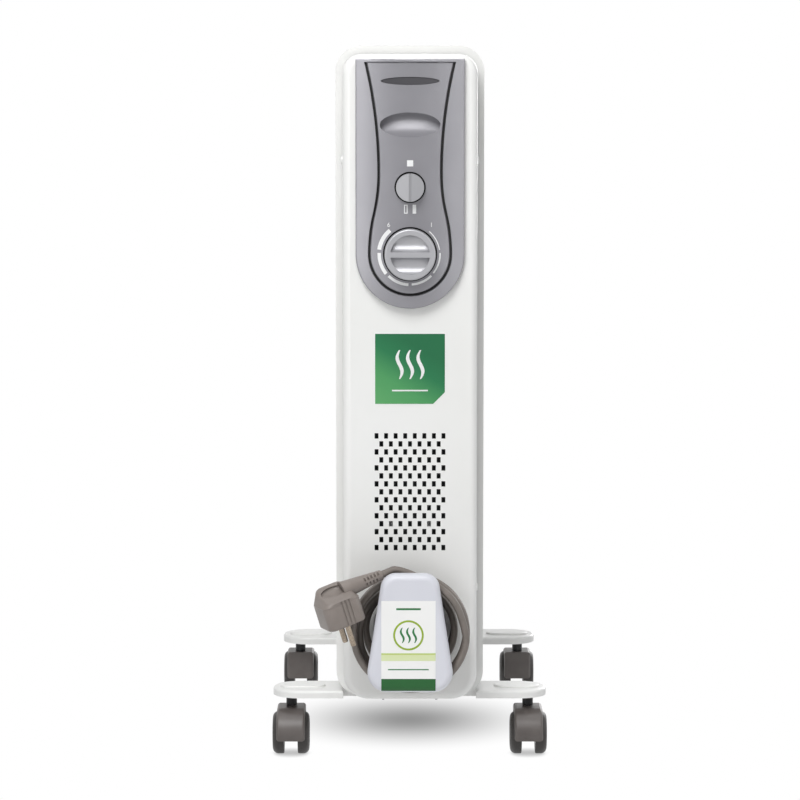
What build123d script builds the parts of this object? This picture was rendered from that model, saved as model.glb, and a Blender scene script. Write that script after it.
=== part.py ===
from build123d import *
import math
import os

# An oil filled radiator heater on swivel casters, with its control box at the front.
# Sizes are in millimetres. X runs across the heater, Y from its control box (-Y) to its back (+Y),
# Z up. The origin is on the floor, under the middle of the heater.

# Oil fins
fin_count = 9
fin_pitch = 38.0
fin_width = 128.0
fin_height = 566.0
fin_corner = 22.0
fin_bottom = 52.0
fin_sheet = 0.8
channel_half_depth = 4.0
channel_width = 20.0
channel_spacing = 36.0
channel_round = 2.4
header_radius = 20.0
header_wall = 1.6
header_margin = 3.0
header_top_inset = 34.0
header_cap_thickness = 1.5
filler_head = 6.0
filler_flats = 13.0
filler_chamfer = 0.75

# Front cover of the control box
cover_width = 114.0
cover_height = 551.0
cover_depth = 57.0
cover_bottom = 60.0
cover_wall = 1.0
cover_edge = 6.5
cover_top_corner = 16.0
cover_bottom_corner = 22.0
cover_gap = 4.0
grille_rows = 8
grille_columns = 8
grille_pitch_x = 8.13
grille_pitch_z = 6.85
grille_hole_width = 3.3
grille_hole_height = 4.7
grille_height = 180.0

# Mounting plate between the cover and the first fin
plate_sheet = 1.2
plate_inset = 3.0
plate_flange = 12.0
plate_clearance = 0.3
stud_radius = 2.5
stud_shoulder = 1.0
stud_tip = 1.0
stud_spread = 36.0
stud_rise = 130.0
stud_hole_clearance = 0.2
nut_flats = 8.0
nut_height = 4.0
screw_radius = 1.9
screw_hole_clearance = 0.15
screw_head_radius = 3.6
screw_head_height = 2.2
screw_head_round = 1.1
screw_length = 9.0
screw_rise = 185.0

# Control panel
panel_width = 92.0
panel_height = 210.0
panel_top_inset = 4.0
panel_proud = 8.0
panel_crown = 300.0
panel_floor = 2.0
panel_edge = 1.2
panel_window_margin = 9.0
inlay_proud = 6.8
inlay_edge = 0.9
inlay_top_half = 36.5
inlay_waist_half = 25.4
inlay_bulb_half = 33.4
inlay_waist_rise = 68.0
inlay_top_lip = 2.6
groove_width = 2.2
seal_thickness = 1.2
seal_clearance = 0.25
lens_width = 49.5
lens_height = 6.8
lens_drop = 18.5
lens_recess = 0.6
lens_clearance = 0.15
lamp_radius = 3.0
lamp_length = 14.0
lamp_round = 1.5
grip_width = 51.0
grip_height = 21.0
grip_drop = 55.3
grip_depth = 11.0
grip_wall = 1.6
grip_clearance = 0.4

# Switch and thermostat
switch_rise = 56.3
switch_knob_radius = 11.8
switch_knob_height = 9.0
switch_ridge_fall = 3.2
switch_ridge_half = 1.2
switch_body_width = 26.0
switch_body_depth = 24.0
thermostat_knob_radius = 21.6
thermostat_knob_height = 12.0
thermostat_rim = 5.0
thermostat_bar = 4.4
thermostat_pocket_depth = 4.5
thermostat_knob_edge = 1.4
thermostat_body_width = 40.0
thermostat_body_height = 34.0
thermostat_body_depth = 26.0
shaft_radius = 3.0
shaft_clearance = 0.05
shaft_hole_clearance = 0.5
shaft_seat = 14.0
knob_gap = 0.6
knob_ring = 1.4
knob_ring_depth = 1.4
knob_socket = 5.0

# Parts inside the control box
moulding_corner = 1.5
cutout_radius = 7.5
cutout_height = 5.0
cutout_round = 1.0
cutout_x = 18.0
cutout_rise = 190.0
terminal_width = 44.0
terminal_height = 18.0
terminal_depth = 16.0
terminal_rise = 105.0
element_rod_radius = 4.0
element_half_spacing = 8.0
element_flange = 4.0
element_pin_radius = 2.0
element_pin_length = 9.0
element_hole_margin = 4.0

# Cord wrap, cord and plug
wrap_rise = 64.5
bobbin_radius = 31.0
bobbin_wall = 2.5
bobbin_length = 47.0
cap_depth = 9.0
cap_wall = 2.4
cap_edge = 6.0
cap_top_width = 46.0
cap_bottom_width = 77.5
cap_height = 101.0
cap_lift = 2.7
cap_top_corner = 13.0
cap_bottom_corner = 17.0
cap_spigot = 6.0
cap_spigot_clearance = 0.15
bobbin_screw_spacing = 36.0
cord_diameter = 6.2
cord_pitch = 7.3
cord_stand_off = 1.2
cord_inner_radius = 37.6
cord_outer_radius = 47.6
cord_inner_turns = 2.5
cord_climb_turns = 0.5
cord_outer_turns = 2.25
gland_length = 16.0
gland_width = 12.0
gland_height = 6.8
gland_neck_radius = 4.5
gland_neck_length = 8.0
cord_shoulder_rise = 2.6
plug_reach = 24.0
plug_rise = 3.6
plug_forward = 3.2
plug_tilt = 18.0
plug_swing = 22.0
plug_relief_length = 28.0
plug_relief_tip = 4.2
plug_relief_root = 8.0
plug_relief_sink = 10.0
plug_base_length = 34.0
plug_base_width = 32.0
plug_base_height = 20.5
plug_grip_height = 13.0
plug_grip_taper = 25.0
plug_drop = 6.0
plug_corner = 9.0
plug_edge = 2.0
pin_radius = 2.4
pin_length = 19.0
pin_spacing = 19.0
pin_round = 1.2

# Feet
foot_length = 240.0
foot_width = 50.0
foot_top = 57.0
foot_sheet = 1.8
foot_lip = 6.5
foot_corner = 24.0
foot_edge = 2.2
foot_neck_width = 28.0
foot_tuck = 6.0
foot_bead_length = 40.0
foot_bead_width = 20.0
foot_bead_height = 1.6
foot_bead_round = 1.4
foot_bead_offset = 10.0
foot_neck_overlap = 1.0
header_seat_gap = 0.3
u_bolt_radius = 3.0
u_bolt_end = 47.5
u_bolt_hole_clearance = 0.3
wing_nut_radius = 5.5
wing_nut_height = 4.0
wing_span = 24.0
wing_height = 4.5
wing_thickness = 2.0

# Casters
stem_inset = 16.0
stem_radius = 4.0
stem_neck_radius = 4.7
stem_depth = 17.0
stem_gap = 0.4
wheel_radius = 18.5
wheel_width = 10.0
wheel_crown = 5.0
wheel_dish = 1.6
wheel_dish_radius = 13.0
wheel_hub_radius = 6.5
wheel_dish_round = 1.0
wheel_cap = 1.8
caster_trail = 15.0
hood_width = 25.0
hood_top = 40.0
hood_bottom = 14.5
hood_boss_half = 9.0
hood_round = 2.4
hood_web = 11.0
wheel_side_gap = 0.5
wheel_fender_gap = 1.2
axle_radius = 2.5
axle_clearance = 0.05
axle_seat_clearance = 0.02
axle_end_gap = 0.3


# Places worked out from the sizes above
cord_radius = cord_diameter / 2
wrap_depth = bobbin_length + cap_depth
fin_stack = (fin_count - 1) * fin_pitch
rear_reach = fin_pitch / 2 + header_cap_thickness + filler_head
total_depth = wrap_depth + cover_depth + cover_gap + fin_sheet + fin_stack + rear_reach
cover_front_y = -total_depth / 2 + wrap_depth
cover_rear_y = cover_front_y + cover_depth
fin_1_y = cover_rear_y + cover_gap + fin_sheet
fin_last_y = fin_1_y + fin_stack
header_low_z = foot_top + header_seat_gap + header_radius
header_high_z = fin_bottom + fin_height - header_top_inset
fin_mid_z = fin_bottom + fin_height / 2
header_bore = header_radius - header_wall
front_header_y = fin_1_y - channel_half_depth
rear_header_y = fin_last_y + fin_pitch / 2

cover_mid_z = cover_bottom + cover_height / 2
cover_top = cover_bottom + cover_height
grille_mid_z = cover_bottom + grille_height
plate_y = cover_rear_y - plate_inset
plate_front_y = plate_y - plate_sheet
plate_drawn_in = cover_wall + plate_clearance
plate_width = cover_width - 2 * plate_drawn_in
plate_height = cover_height - 2 * plate_drawn_in

panel_top = cover_top - panel_top_inset
knob_z = panel_top - panel_height + panel_width / 2
switch_z = knob_z + switch_rise
waist_z = knob_z + inlay_waist_rise
inlay_top = panel_top - inlay_top_lip
lens_z = panel_top - lens_drop
grip_z = panel_top - grip_drop
panel_floor_y = cover_front_y - panel_floor
inlay_front_y = cover_front_y - inlay_proud
knob_back_y = inlay_front_y + knob_ring_depth - knob_gap

wrap_z = cover_bottom + wrap_rise
bobbin_front_y = cover_front_y - bobbin_length

foot_y = [fin_1_y + fin_pitch / 2, fin_last_y - fin_pitch / 2]
foot_under = foot_top - foot_sheet
stem_x = foot_length / 2 - stem_inset
foot_bead_x = stem_x - foot_bead_offset
hood_radius = hood_top - wheel_radius
hood_front_y = -caster_trail - math.sqrt(hood_radius ** 2 - (wheel_radius - hood_bottom) ** 2)

os.makedirs("parts", exist_ok=True)


def front_plane(y):
    """A sketch plane facing the front at depth y: its x is X, its y is Z and it extrudes towards -Y."""
    return Plane.XZ.offset(-y)


def save(solid, name):
    """Labels a finished piece and writes its file."""
    solid.label = name
    export_step(solid, f"parts/{name}.step")


# Oil fins: two pressed sheets welded at the rim, with oil channels and a header collar at each end
def channel_outline(margin):
    """Draws the oil channels of a fin, drawn in by a margin: three uprights between two headers."""
    upright_width = channel_width - 2 * margin
    upright_height = header_high_z - header_low_z
    bar_width = 2 * channel_spacing + channel_width - 2 * margin
    bar_height = 2 * (header_radius + header_margin - margin)
    with Locations((0, (header_low_z + header_high_z) / 2)):
        with GridLocations(channel_spacing, 1, 3, 1):
            Rectangle(upright_width, upright_height)
    with Locations((0, header_low_z), (0, header_high_z)):
        SlotOverall(bar_width, bar_height)


with BuildPart() as fin:
    with BuildSketch(front_plane(fin_1_y)):
        with Locations((0, fin_mid_z)):
            RectangleRounded(fin_width, fin_height, fin_corner)
    extrude(amount=fin_sheet, both=True)
    with BuildSketch(front_plane(fin_1_y)):
        channel_outline(0)
    extrude(amount=channel_half_depth, both=True)
    pressed_faces = fin.faces().filter_by(Axis.Y).sort_by(Axis.Y)
    fillet(pressed_faces[0].edges() + pressed_faces[-1].edges(), channel_round)
    with BuildSketch(front_plane(fin_1_y)):
        with Locations((0, header_low_z), (0, header_high_z)):
            Circle(header_radius)
    extrude(amount=fin_pitch / 2, both=True)
    with BuildSketch(front_plane(fin_1_y)):
        channel_outline(fin_sheet)
    extrude(amount=channel_half_depth - fin_sheet, both=True, mode=Mode.SUBTRACT)
    with BuildSketch(front_plane(fin_1_y)):
        with Locations((0, header_low_z), (0, header_high_z)):
            Circle(header_bore)
    extrude(amount=fin_pitch / 2, both=True, mode=Mode.SUBTRACT)

# The first fin has no collars at the front, where its headers are closed flush with its face
with BuildPart() as first_fin:
    add(fin.part)
    with BuildSketch(front_plane(front_header_y)):
        with Locations((0, header_low_z), (0, header_high_z)):
            Circle(header_radius + header_margin)
    extrude(amount=fin_pitch / 2, mode=Mode.SUBTRACT)
save(first_fin.part, "fin_1")

for number in range(1, fin_count):
    save(fin.part.moved(Location((0, number * fin_pitch, 0))), f"fin_{number + 1}")

# Caps welded on the open ends of the headers, apart from the one that holds the heating element
with BuildPart() as header_caps:
    with BuildSketch(front_plane(front_header_y)):
        with Locations((0, header_high_z)):
            Circle(header_bore - axle_seat_clearance)
    extrude(amount=-header_cap_thickness)
    with BuildSketch(front_plane(rear_header_y)):
        with Locations((0, header_low_z), (0, header_high_z)):
            Circle(header_radius)
    extrude(amount=-header_cap_thickness)
save(header_caps.part, "header_caps")

with BuildPart() as filler_plug:
    with BuildSketch(front_plane(rear_header_y + header_cap_thickness)):
        with Locations((0, header_high_z)):
            RegularPolygon(filler_flats / 2, 6, major_radius=False)
    extrude(amount=-filler_head)
    chamfer(filler_plug.faces().sort_by(Axis.Y)[-1].edges(), filler_chamfer)
save(filler_plug.part, "filler_plug")

# Heating element: a hairpin in the bottom header, on a flange set into the header's front end
element_rear_y = fin_last_y - element_half_spacing
with BuildPart() as heating_element:
    with BuildLine() as hairpin:
        outward = Line((-element_half_spacing, front_header_y, header_low_z),
                       (-element_half_spacing, element_rear_y, header_low_z))
        bend_end = (element_half_spacing, element_rear_y, header_low_z)
        bend = TangentArc(outward @ 1, bend_end, tangent=outward % 1)
        Line(bend @ 1, (element_half_spacing, front_header_y, header_low_z))
    with BuildSketch(Plane(origin=outward @ 0, z_dir=outward % 0)):
        Circle(element_rod_radius)
    sweep()
    with BuildSketch(front_plane(front_header_y)):
        with Locations((0, header_low_z)):
            Circle(header_bore - axle_seat_clearance)
    extrude(amount=-element_flange)
    with BuildSketch(front_plane(front_header_y)):
        with Locations((-element_half_spacing, header_low_z), (element_half_spacing, header_low_z)):
            Circle(element_pin_radius)
    extrude(amount=element_pin_length)
save(heating_element.part, "heating_element")


# Front cover: a deep-drawn box, open towards the fins
def panel_outline(inset, top_inset):
    """Draws the control panel's outline: square at the top and round at the bottom."""
    half = panel_width / 2 - inset
    with Locations((0, knob_z)):
        Circle(half)
        Rectangle(2 * half, panel_top - top_inset - knob_z, align=(Align.CENTER, Align.MIN))


with BuildPart() as front_cover:
    with BuildSketch(front_plane(cover_rear_y)) as cover_sketch:
        with Locations((0, cover_mid_z)):
            Rectangle(cover_width, cover_height)
        fillet(cover_sketch.vertices().group_by(Axis.Y)[-1], cover_top_corner)
        fillet(cover_sketch.vertices().group_by(Axis.Y)[0], cover_bottom_corner)
    extrude(amount=cover_depth)
    fillet(front_cover.faces().sort_by(Axis.Y)[0].edges(), cover_edge)
    offset(amount=-cover_wall, openings=front_cover.faces().sort_by(Axis.Y)[-1])
    with BuildSketch(front_plane(cover_front_y)):
        with Locations((0, grille_mid_z)):
            with GridLocations(grille_pitch_x, 2 * grille_pitch_z, grille_columns, grille_rows):
                Rectangle(grille_hole_width, grille_hole_height)
            with GridLocations(grille_pitch_x, 2 * grille_pitch_z, grille_columns - 1, grille_rows - 1):
                Rectangle(grille_hole_width, grille_hole_height)
    extrude(amount=-cover_wall, mode=Mode.SUBTRACT)
    with BuildSketch(front_plane(cover_front_y)):
        panel_outline(panel_window_margin, panel_window_margin)
    extrude(amount=-cover_wall, mode=Mode.SUBTRACT)
    with BuildSketch(front_plane(cover_front_y)):
        with Locations((0, wrap_z)):
            with GridLocations(bobbin_screw_spacing, 1, 2, 1):
                Circle(screw_radius + screw_hole_clearance)
        with Locations((-gland_length / 2, wrap_z - cord_inner_radius)):
            Circle(gland_neck_radius + screw_hole_clearance)
    extrude(amount=-cover_wall, mode=Mode.SUBTRACT)
    with BuildSketch(Plane.YZ):
        with Locations((plate_front_y - plate_flange / 2, cover_mid_z)):
            with GridLocations(1, 2 * screw_rise, 1, 2):
                Circle(screw_radius + screw_hole_clearance)
    extrude(amount=cover_width, both=True, mode=Mode.SUBTRACT)
save(front_cover.part, "front_cover")

# Mounting plate: a shallow tray inside the cover's rim, held on studs of the first fin
with BuildPart() as mounting_plate:
    with BuildSketch(front_plane(plate_y)) as plate_sketch:
        with Locations((0, cover_mid_z)):
            Rectangle(plate_width, plate_height)
        fillet(plate_sketch.vertices().group_by(Axis.Y)[-1], cover_top_corner - plate_drawn_in)
        fillet(plate_sketch.vertices().group_by(Axis.Y)[0], cover_bottom_corner - plate_drawn_in)
    extrude(amount=plate_flange)
    offset(amount=-plate_sheet, openings=mounting_plate.faces().sort_by(Axis.Y)[0])
    with BuildSketch(front_plane(plate_y)):
        with Locations((0, header_low_z)):
            Circle(element_half_spacing + element_pin_radius + element_hole_margin)
        with Locations((0, cover_mid_z)):
            with GridLocations(stud_spread, 2 * stud_rise, 2, 2):
                Circle(stud_radius + stud_hole_clearance)
    extrude(amount=plate_sheet, mode=Mode.SUBTRACT)
    with BuildSketch(Plane.YZ):
        with Locations((plate_front_y - plate_flange / 2, cover_mid_z)):
            with GridLocations(1, 2 * screw_rise, 1, 2):
                Circle(screw_radius + screw_hole_clearance / 2)
    extrude(amount=plate_width, both=True, mode=Mode.SUBTRACT)
save(mounting_plate.part, "mounting_plate")

with BuildPart() as plate_studs:
    with BuildSketch(front_plane(fin_1_y - fin_sheet)):
        with Locations((0, cover_mid_z)):
            with GridLocations(stud_spread, 2 * stud_rise, 2, 2):
                Circle(stud_radius + stud_shoulder)
    extrude(amount=fin_1_y - fin_sheet - plate_y)
    with BuildSketch(front_plane(plate_y)):
        with Locations((0, cover_mid_z)):
            with GridLocations(stud_spread, 2 * stud_rise, 2, 2):
                Circle(stud_radius)
    extrude(amount=plate_sheet + nut_height + stud_tip)
save(plate_studs.part, "plate_studs")

with BuildPart() as plate_nuts:
    with BuildSketch(front_plane(plate_front_y)):
        with Locations((0, cover_mid_z)):
            with GridLocations(stud_spread, 2 * stud_rise, 2, 2):
                RegularPolygon(nut_flats / 2, 6, major_radius=False)
                Circle(stud_radius + axle_seat_clearance, mode=Mode.SUBTRACT)
    extrude(amount=nut_height)
save(plate_nuts.part, "plate_nuts")

with BuildPart() as cover_screws:
    for side in (-1, 1):
        head_plane = Plane(origin=(side * cover_width / 2, plate_front_y - plate_flange / 2, cover_mid_z),
                           x_dir=(0, side, 0), z_dir=(side, 0, 0))
        with BuildSketch(head_plane):
            with GridLocations(1, 2 * screw_rise, 1, 2):
                Circle(screw_head_radius)
        extrude(amount=screw_head_height)
        with BuildSketch(head_plane):
            with GridLocations(1, 2 * screw_rise, 1, 2):
                Circle(screw_radius)
        extrude(amount=-screw_length)
    outer_faces = cover_screws.faces().filter_by(Axis.X).group_by(Axis.X)
    fillet(outer_faces[0].edges() + outer_faces[-1].edges(), screw_head_round)
save(cover_screws.part, "cover_screws")


# Control panel: a crowned bezel with a recess for the hourglass inlay
def hourglass(margin, top):
    """Draws the hourglass outline, widened by a margin, up to a top height."""
    waist = (inlay_waist_half + margin, waist_z)
    shoulder = (inlay_top_half + margin, top)
    bulb = (inlay_bulb_half + margin, knob_z)
    middle = ((waist[0] + bulb[0]) / 2, (waist_z + knob_z) / 2)
    with BuildLine() as outline:
        Line((0, top), shoulder)
        TangentArc(waist, shoulder, tangent=(0, 1))
        TangentArc(waist, middle, tangent=(0, -1))
        TangentArc(bulb, middle, tangent=(0, 1))
        CenterArc((0, knob_z), bulb[0], -90, 90)
        mirror(about=Plane.YZ)
    make_face(outline.edges())


def at_height(y, z):
    """A front plane at depth y whose origin is at height z."""
    return Plane(origin=(0, y, z), x_dir=(1, 0, 0), z_dir=(0, -1, 0))


with BuildPart() as control_panel:
    with BuildSketch(front_plane(cover_front_y)):
        panel_outline(0, 0)
    extrude(amount=panel_proud)
    with Locations((0, cover_front_y - panel_proud + panel_crown, cover_mid_z)):
        Cylinder(panel_crown, 2 * cover_height, mode=Mode.INTERSECT)
    rim_edges = control_panel.faces().sort_by(Axis.Y)[0].edges()
    fillet(rim_edges, panel_edge)
    with BuildSketch(front_plane(panel_floor_y)):
        hourglass(groove_width, inlay_top)
    extrude(amount=panel_proud, mode=Mode.SUBTRACT)
    with BuildSketch(at_height(panel_floor_y, grip_z)):
        Ellipse(grip_width / 2 + grip_wall + grip_clearance, grip_height / 2 + grip_wall + grip_clearance)
    extrude(amount=-panel_floor, mode=Mode.SUBTRACT)
    with BuildSketch(front_plane(panel_floor_y)):
        with Locations((0, switch_z), (0, knob_z)):
            Circle(shaft_radius + shaft_hole_clearance)
        with Locations((0, lens_z)):
            Circle(lamp_radius + axle_clearance)
    extrude(amount=-panel_floor, mode=Mode.SUBTRACT)
save(control_panel.part, "control_panel")

with BuildPart() as panel_seal:
    with BuildSketch(front_plane(panel_floor_y)):
        hourglass(groove_width - seal_clearance, inlay_top - seal_clearance)
    extrude(amount=seal_thickness)
    with BuildSketch(front_plane(panel_floor_y)):
        hourglass(seal_clearance, inlay_top)
    extrude(amount=seal_thickness, mode=Mode.SUBTRACT)
save(panel_seal.part, "panel_seal")

# The scoop is deepest under its top edge, and its floor curves out to its bottom edge
grip_back_y = inlay_front_y + grip_depth
grip_top = grip_z + grip_height / 2
grip_bottom = grip_z - grip_height / 2
with BuildPart() as grip_scoop:
    with BuildSketch(at_height(inlay_front_y, grip_z)):
        Ellipse(grip_width / 2, grip_height / 2)
    extrude(amount=-grip_depth)
    with BuildSketch(Plane.YZ):
        with BuildLine():
            Polyline((inlay_front_y, grip_bottom), (inlay_front_y, grip_top), (grip_back_y, grip_top))
            TangentArc((grip_back_y, grip_top), (inlay_front_y, grip_bottom), tangent=(0, -1))
        make_face()
    extrude(amount=grip_width, both=True, mode=Mode.INTERSECT)

with BuildPart() as panel_inlay:
    with BuildSketch(front_plane(panel_floor_y)):
        hourglass(0, inlay_top)
    extrude(amount=inlay_proud - panel_floor)
    with Locations((0, inlay_front_y + panel_crown, cover_mid_z)):
        Cylinder(panel_crown, 2 * cover_height, mode=Mode.INTERSECT)
    fillet(panel_inlay.faces().sort_by(Axis.Y)[0].edges(), inlay_edge)
    with BuildSketch(at_height(panel_floor_y, grip_z)):
        Ellipse(grip_width / 2 + grip_wall, grip_height / 2 + grip_wall)
    extrude(amount=-(grip_depth + grip_wall - inlay_proud + panel_floor))
    add(grip_scoop.part, mode=Mode.SUBTRACT)
    with BuildSketch(at_height(inlay_front_y, lens_z)):
        Ellipse(lens_width / 2, lens_height / 2)
    extrude(amount=-inlay_proud, mode=Mode.SUBTRACT)
    with BuildSketch(front_plane(inlay_front_y)):
        with Locations((0, switch_z)):
            Circle(switch_knob_radius + knob_ring)
        with Locations((0, knob_z)):
            Circle(thermostat_knob_radius + knob_ring)
    extrude(amount=-knob_ring_depth, mode=Mode.SUBTRACT)
    with BuildSketch(front_plane(inlay_front_y)):
        with Locations((0, switch_z), (0, knob_z)):
            Circle(shaft_radius + shaft_hole_clearance)
    extrude(amount=-inlay_proud, mode=Mode.SUBTRACT)
save(panel_inlay.part, "panel_inlay")

with BuildPart() as indicator_lens:
    with BuildSketch(at_height(panel_floor_y, lens_z)):
        Ellipse(lens_width / 2 - lens_clearance, lens_height / 2 - lens_clearance)
    extrude(amount=inlay_proud - panel_floor)
    with Locations((0, inlay_front_y + panel_crown, cover_mid_z)):
        Cylinder(panel_crown - lens_recess, 2 * cover_height, mode=Mode.INTERSECT)
save(indicator_lens.part, "indicator_lens")

with BuildPart() as pilot_lamp:
    with BuildSketch(front_plane(panel_floor_y)):
        with Locations((0, lens_z)):
            Circle(lamp_radius)
    extrude(amount=-lamp_length)
    fillet(pilot_lamp.faces().sort_by(Axis.Y)[-1].edges(), lamp_round)
save(pilot_lamp.part, "pilot_lamp")


# Rotary power switch: its body behind the panel, its shaft, and a knob with a ridge for a pointer
def control_body(width, height, depth, z):
    """Adds a control's body behind the panel's floor, with a bore for its shaft."""
    with BuildSketch(front_plane(cover_front_y)) as case:
        with Locations((0, z)):
            RectangleRounded(width, height, moulding_corner)
    extrude(case.sketch, amount=-depth)
    with BuildSketch(front_plane(cover_front_y)) as bore:
        with Locations((0, z)):
            Circle(shaft_radius + shaft_clearance)
    extrude(bore.sketch, amount=-shaft_seat, mode=Mode.SUBTRACT)


def control_shaft(z):
    """Adds a control's shaft, from its body's bore into its knob's socket."""
    with BuildSketch(front_plane(cover_front_y + shaft_seat - knob_gap)) as section:
        with Locations((0, z)):
            Circle(shaft_radius)
    extrude(section.sketch, amount=cover_front_y + shaft_seat - knob_gap - knob_back_y + knob_socket)


def knob_bore(z):
    """Cuts the socket for the shaft into a knob's back."""
    with BuildSketch(front_plane(knob_back_y)) as bore:
        with Locations((0, z)):
            Circle(shaft_radius + axle_seat_clearance)
    extrude(bore.sketch, amount=knob_socket, mode=Mode.SUBTRACT)


with BuildPart() as switch_body:
    control_body(switch_body_width, switch_body_width, switch_body_depth, switch_z)
save(switch_body.part, "switch_body")

with BuildPart() as switch_shaft:
    control_shaft(switch_z)
save(switch_shaft.part, "switch_shaft")

switch_front_y = knob_back_y - switch_knob_height
switch_rim_y = switch_front_y + switch_ridge_fall
with BuildPart() as switch_knob:
    with BuildSketch(front_plane(knob_back_y)):
        with Locations((0, switch_z)):
            Circle(switch_knob_radius)
    extrude(amount=switch_knob_height)
    with BuildSketch(Plane.XY.offset(switch_z)):
        with BuildLine():
            Polyline((-switch_knob_radius, knob_back_y), (-switch_knob_radius, switch_rim_y),
                     (-switch_ridge_half, switch_front_y), (switch_ridge_half, switch_front_y),
                     (switch_knob_radius, switch_rim_y), (switch_knob_radius, knob_back_y), close=True)
        make_face()
    extrude(amount=switch_knob_radius, both=True, mode=Mode.INTERSECT)
    knob_bore(switch_z)
save(switch_knob.part, "switch_knob")

# Thermostat: its body, its shaft, and a knob with a raised bar between two scooped pockets
with BuildPart() as thermostat_body:
    control_body(thermostat_body_width, thermostat_body_height, thermostat_body_depth, knob_z)
save(thermostat_body.part, "thermostat_body")

with BuildPart() as thermostat_shaft:
    control_shaft(knob_z)
save(thermostat_shaft.part, "thermostat_shaft")

pocket_radius = thermostat_knob_radius - thermostat_rim
pocket_half = (pocket_radius - thermostat_bar / 2) / 2
pocket_curve = (pocket_half ** 2 + thermostat_pocket_depth ** 2) / (2 * thermostat_pocket_depth)
knob_front_y = knob_back_y - thermostat_knob_height
scoops = []
for side in (-1, 1):
    with BuildPart() as scoop:
        with BuildSketch(front_plane(knob_front_y)):
            with Locations((0, knob_z)):
                Circle(pocket_radius)
        extrude(amount=-thermostat_pocket_depth)
        scoop_axis = (0, knob_front_y + thermostat_pocket_depth - pocket_curve,
                      knob_z + side * (thermostat_bar / 2 + pocket_half))
        with Locations(scoop_axis):
            Cylinder(pocket_curve, 2 * thermostat_knob_radius, rotation=(0, 90, 0), mode=Mode.INTERSECT)
    scoops.append(scoop.part)

with BuildPart() as thermostat_knob:
    with BuildSketch(front_plane(knob_back_y)):
        with Locations((0, knob_z)):
            Circle(thermostat_knob_radius)
    extrude(amount=thermostat_knob_height)
    fillet(thermostat_knob.faces().sort_by(Axis.Y)[0].edges(), thermostat_knob_edge)
    for scoop_part in scoops:
        add(scoop_part, mode=Mode.SUBTRACT)
    knob_bore(knob_z)
save(thermostat_knob.part, "thermostat_knob")

# Thermal cut-out on the first fin, and the terminal block on the mounting plate
with BuildPart() as thermal_cutout:
    with BuildSketch(front_plane(fin_1_y - fin_sheet)):
        with Locations((cutout_x, cover_mid_z - cutout_rise)):
            Circle(cutout_radius)
    extrude(amount=cutout_height)
    fillet(thermal_cutout.faces().sort_by(Axis.Y)[0].edges(), cutout_round)
save(thermal_cutout.part, "thermal_cutout")

with BuildPart() as terminal_block:
    with BuildSketch(front_plane(plate_front_y)):
        with Locations((0, cover_bottom + terminal_rise)):
            RectangleRounded(terminal_width, terminal_height, moulding_corner)
    extrude(amount=terminal_depth)
    with BuildSketch(front_plane(plate_front_y - terminal_depth)):
        with Locations((0, cover_bottom + terminal_rise)):
            with GridLocations(terminal_width / 4, terminal_height / 2, 3, 2):
                Circle(screw_radius)
    extrude(amount=-terminal_depth / 2, mode=Mode.SUBTRACT)
save(terminal_block.part, "terminal_block")

# Cord wrap: a bobbin screwed to the cover, with a cap on its open end
with BuildPart() as cord_bobbin:
    with BuildSketch(front_plane(cover_front_y)):
        with Locations((0, wrap_z)):
            Circle(bobbin_radius)
    extrude(amount=bobbin_length)
    with BuildSketch(front_plane(cover_front_y - bobbin_wall)):
        with Locations((0, wrap_z)):
            Circle(bobbin_radius - bobbin_wall)
    extrude(amount=bobbin_length, mode=Mode.SUBTRACT)
    with BuildSketch(front_plane(cover_front_y)):
        with Locations((0, wrap_z)):
            with GridLocations(bobbin_screw_spacing, 1, 2, 1):
                Circle(screw_radius + screw_hole_clearance)
    extrude(amount=bobbin_wall, mode=Mode.SUBTRACT)
save(cord_bobbin.part, "cord_bobbin")

with BuildPart() as bobbin_screws:
    with BuildSketch(front_plane(cover_front_y - bobbin_wall)):
        with Locations((0, wrap_z)):
            with GridLocations(bobbin_screw_spacing, 1, 2, 1):
                Circle(screw_head_radius)
    extrude(amount=screw_head_height)
    with BuildSketch(front_plane(cover_front_y - bobbin_wall)):
        with Locations((0, wrap_z)):
            with GridLocations(bobbin_screw_spacing, 1, 2, 1):
                Circle(screw_radius)
    extrude(amount=-screw_length)
save(bobbin_screws.part, "bobbin_screws")


def cap_outline(inset):
    """Draws the cap's outline, drawn in by an inset: a trapezium, wider at the bottom."""
    top = wrap_z + cap_lift + cap_height / 2 - inset
    bottom = top - cap_height + 2 * inset
    half_top = cap_top_width / 2 - inset
    half_bottom = cap_bottom_width / 2 - inset
    with BuildLine() as outline:
        FilletPolyline((0, bottom), (half_bottom, bottom), (half_top, top), (0, top),
                       radius=[cap_bottom_corner - inset, cap_top_corner - inset])
        mirror(about=Plane.YZ)
    make_face(outline.edges())


with BuildPart() as cord_cap:
    with BuildSketch(front_plane(bobbin_front_y)):
        cap_outline(0)
    extrude(amount=cap_depth)
    fillet(cord_cap.faces().sort_by(Axis.Y)[0].edges(), cap_edge)
    with BuildSketch(front_plane(bobbin_front_y)):
        cap_outline(cap_edge)
    extrude(amount=cap_depth - cap_wall, mode=Mode.SUBTRACT)
    spigot_outer = bobbin_radius - bobbin_wall - cap_spigot_clearance
    with BuildSketch(front_plane(bobbin_front_y + cap_spigot)):
        with Locations((0, wrap_z)):
            Circle(spigot_outer)
            Circle(spigot_outer - cap_wall, mode=Mode.SUBTRACT)
    extrude(amount=cap_spigot + cap_depth - cap_wall)
save(cord_cap.part, "cord_cap")

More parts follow.
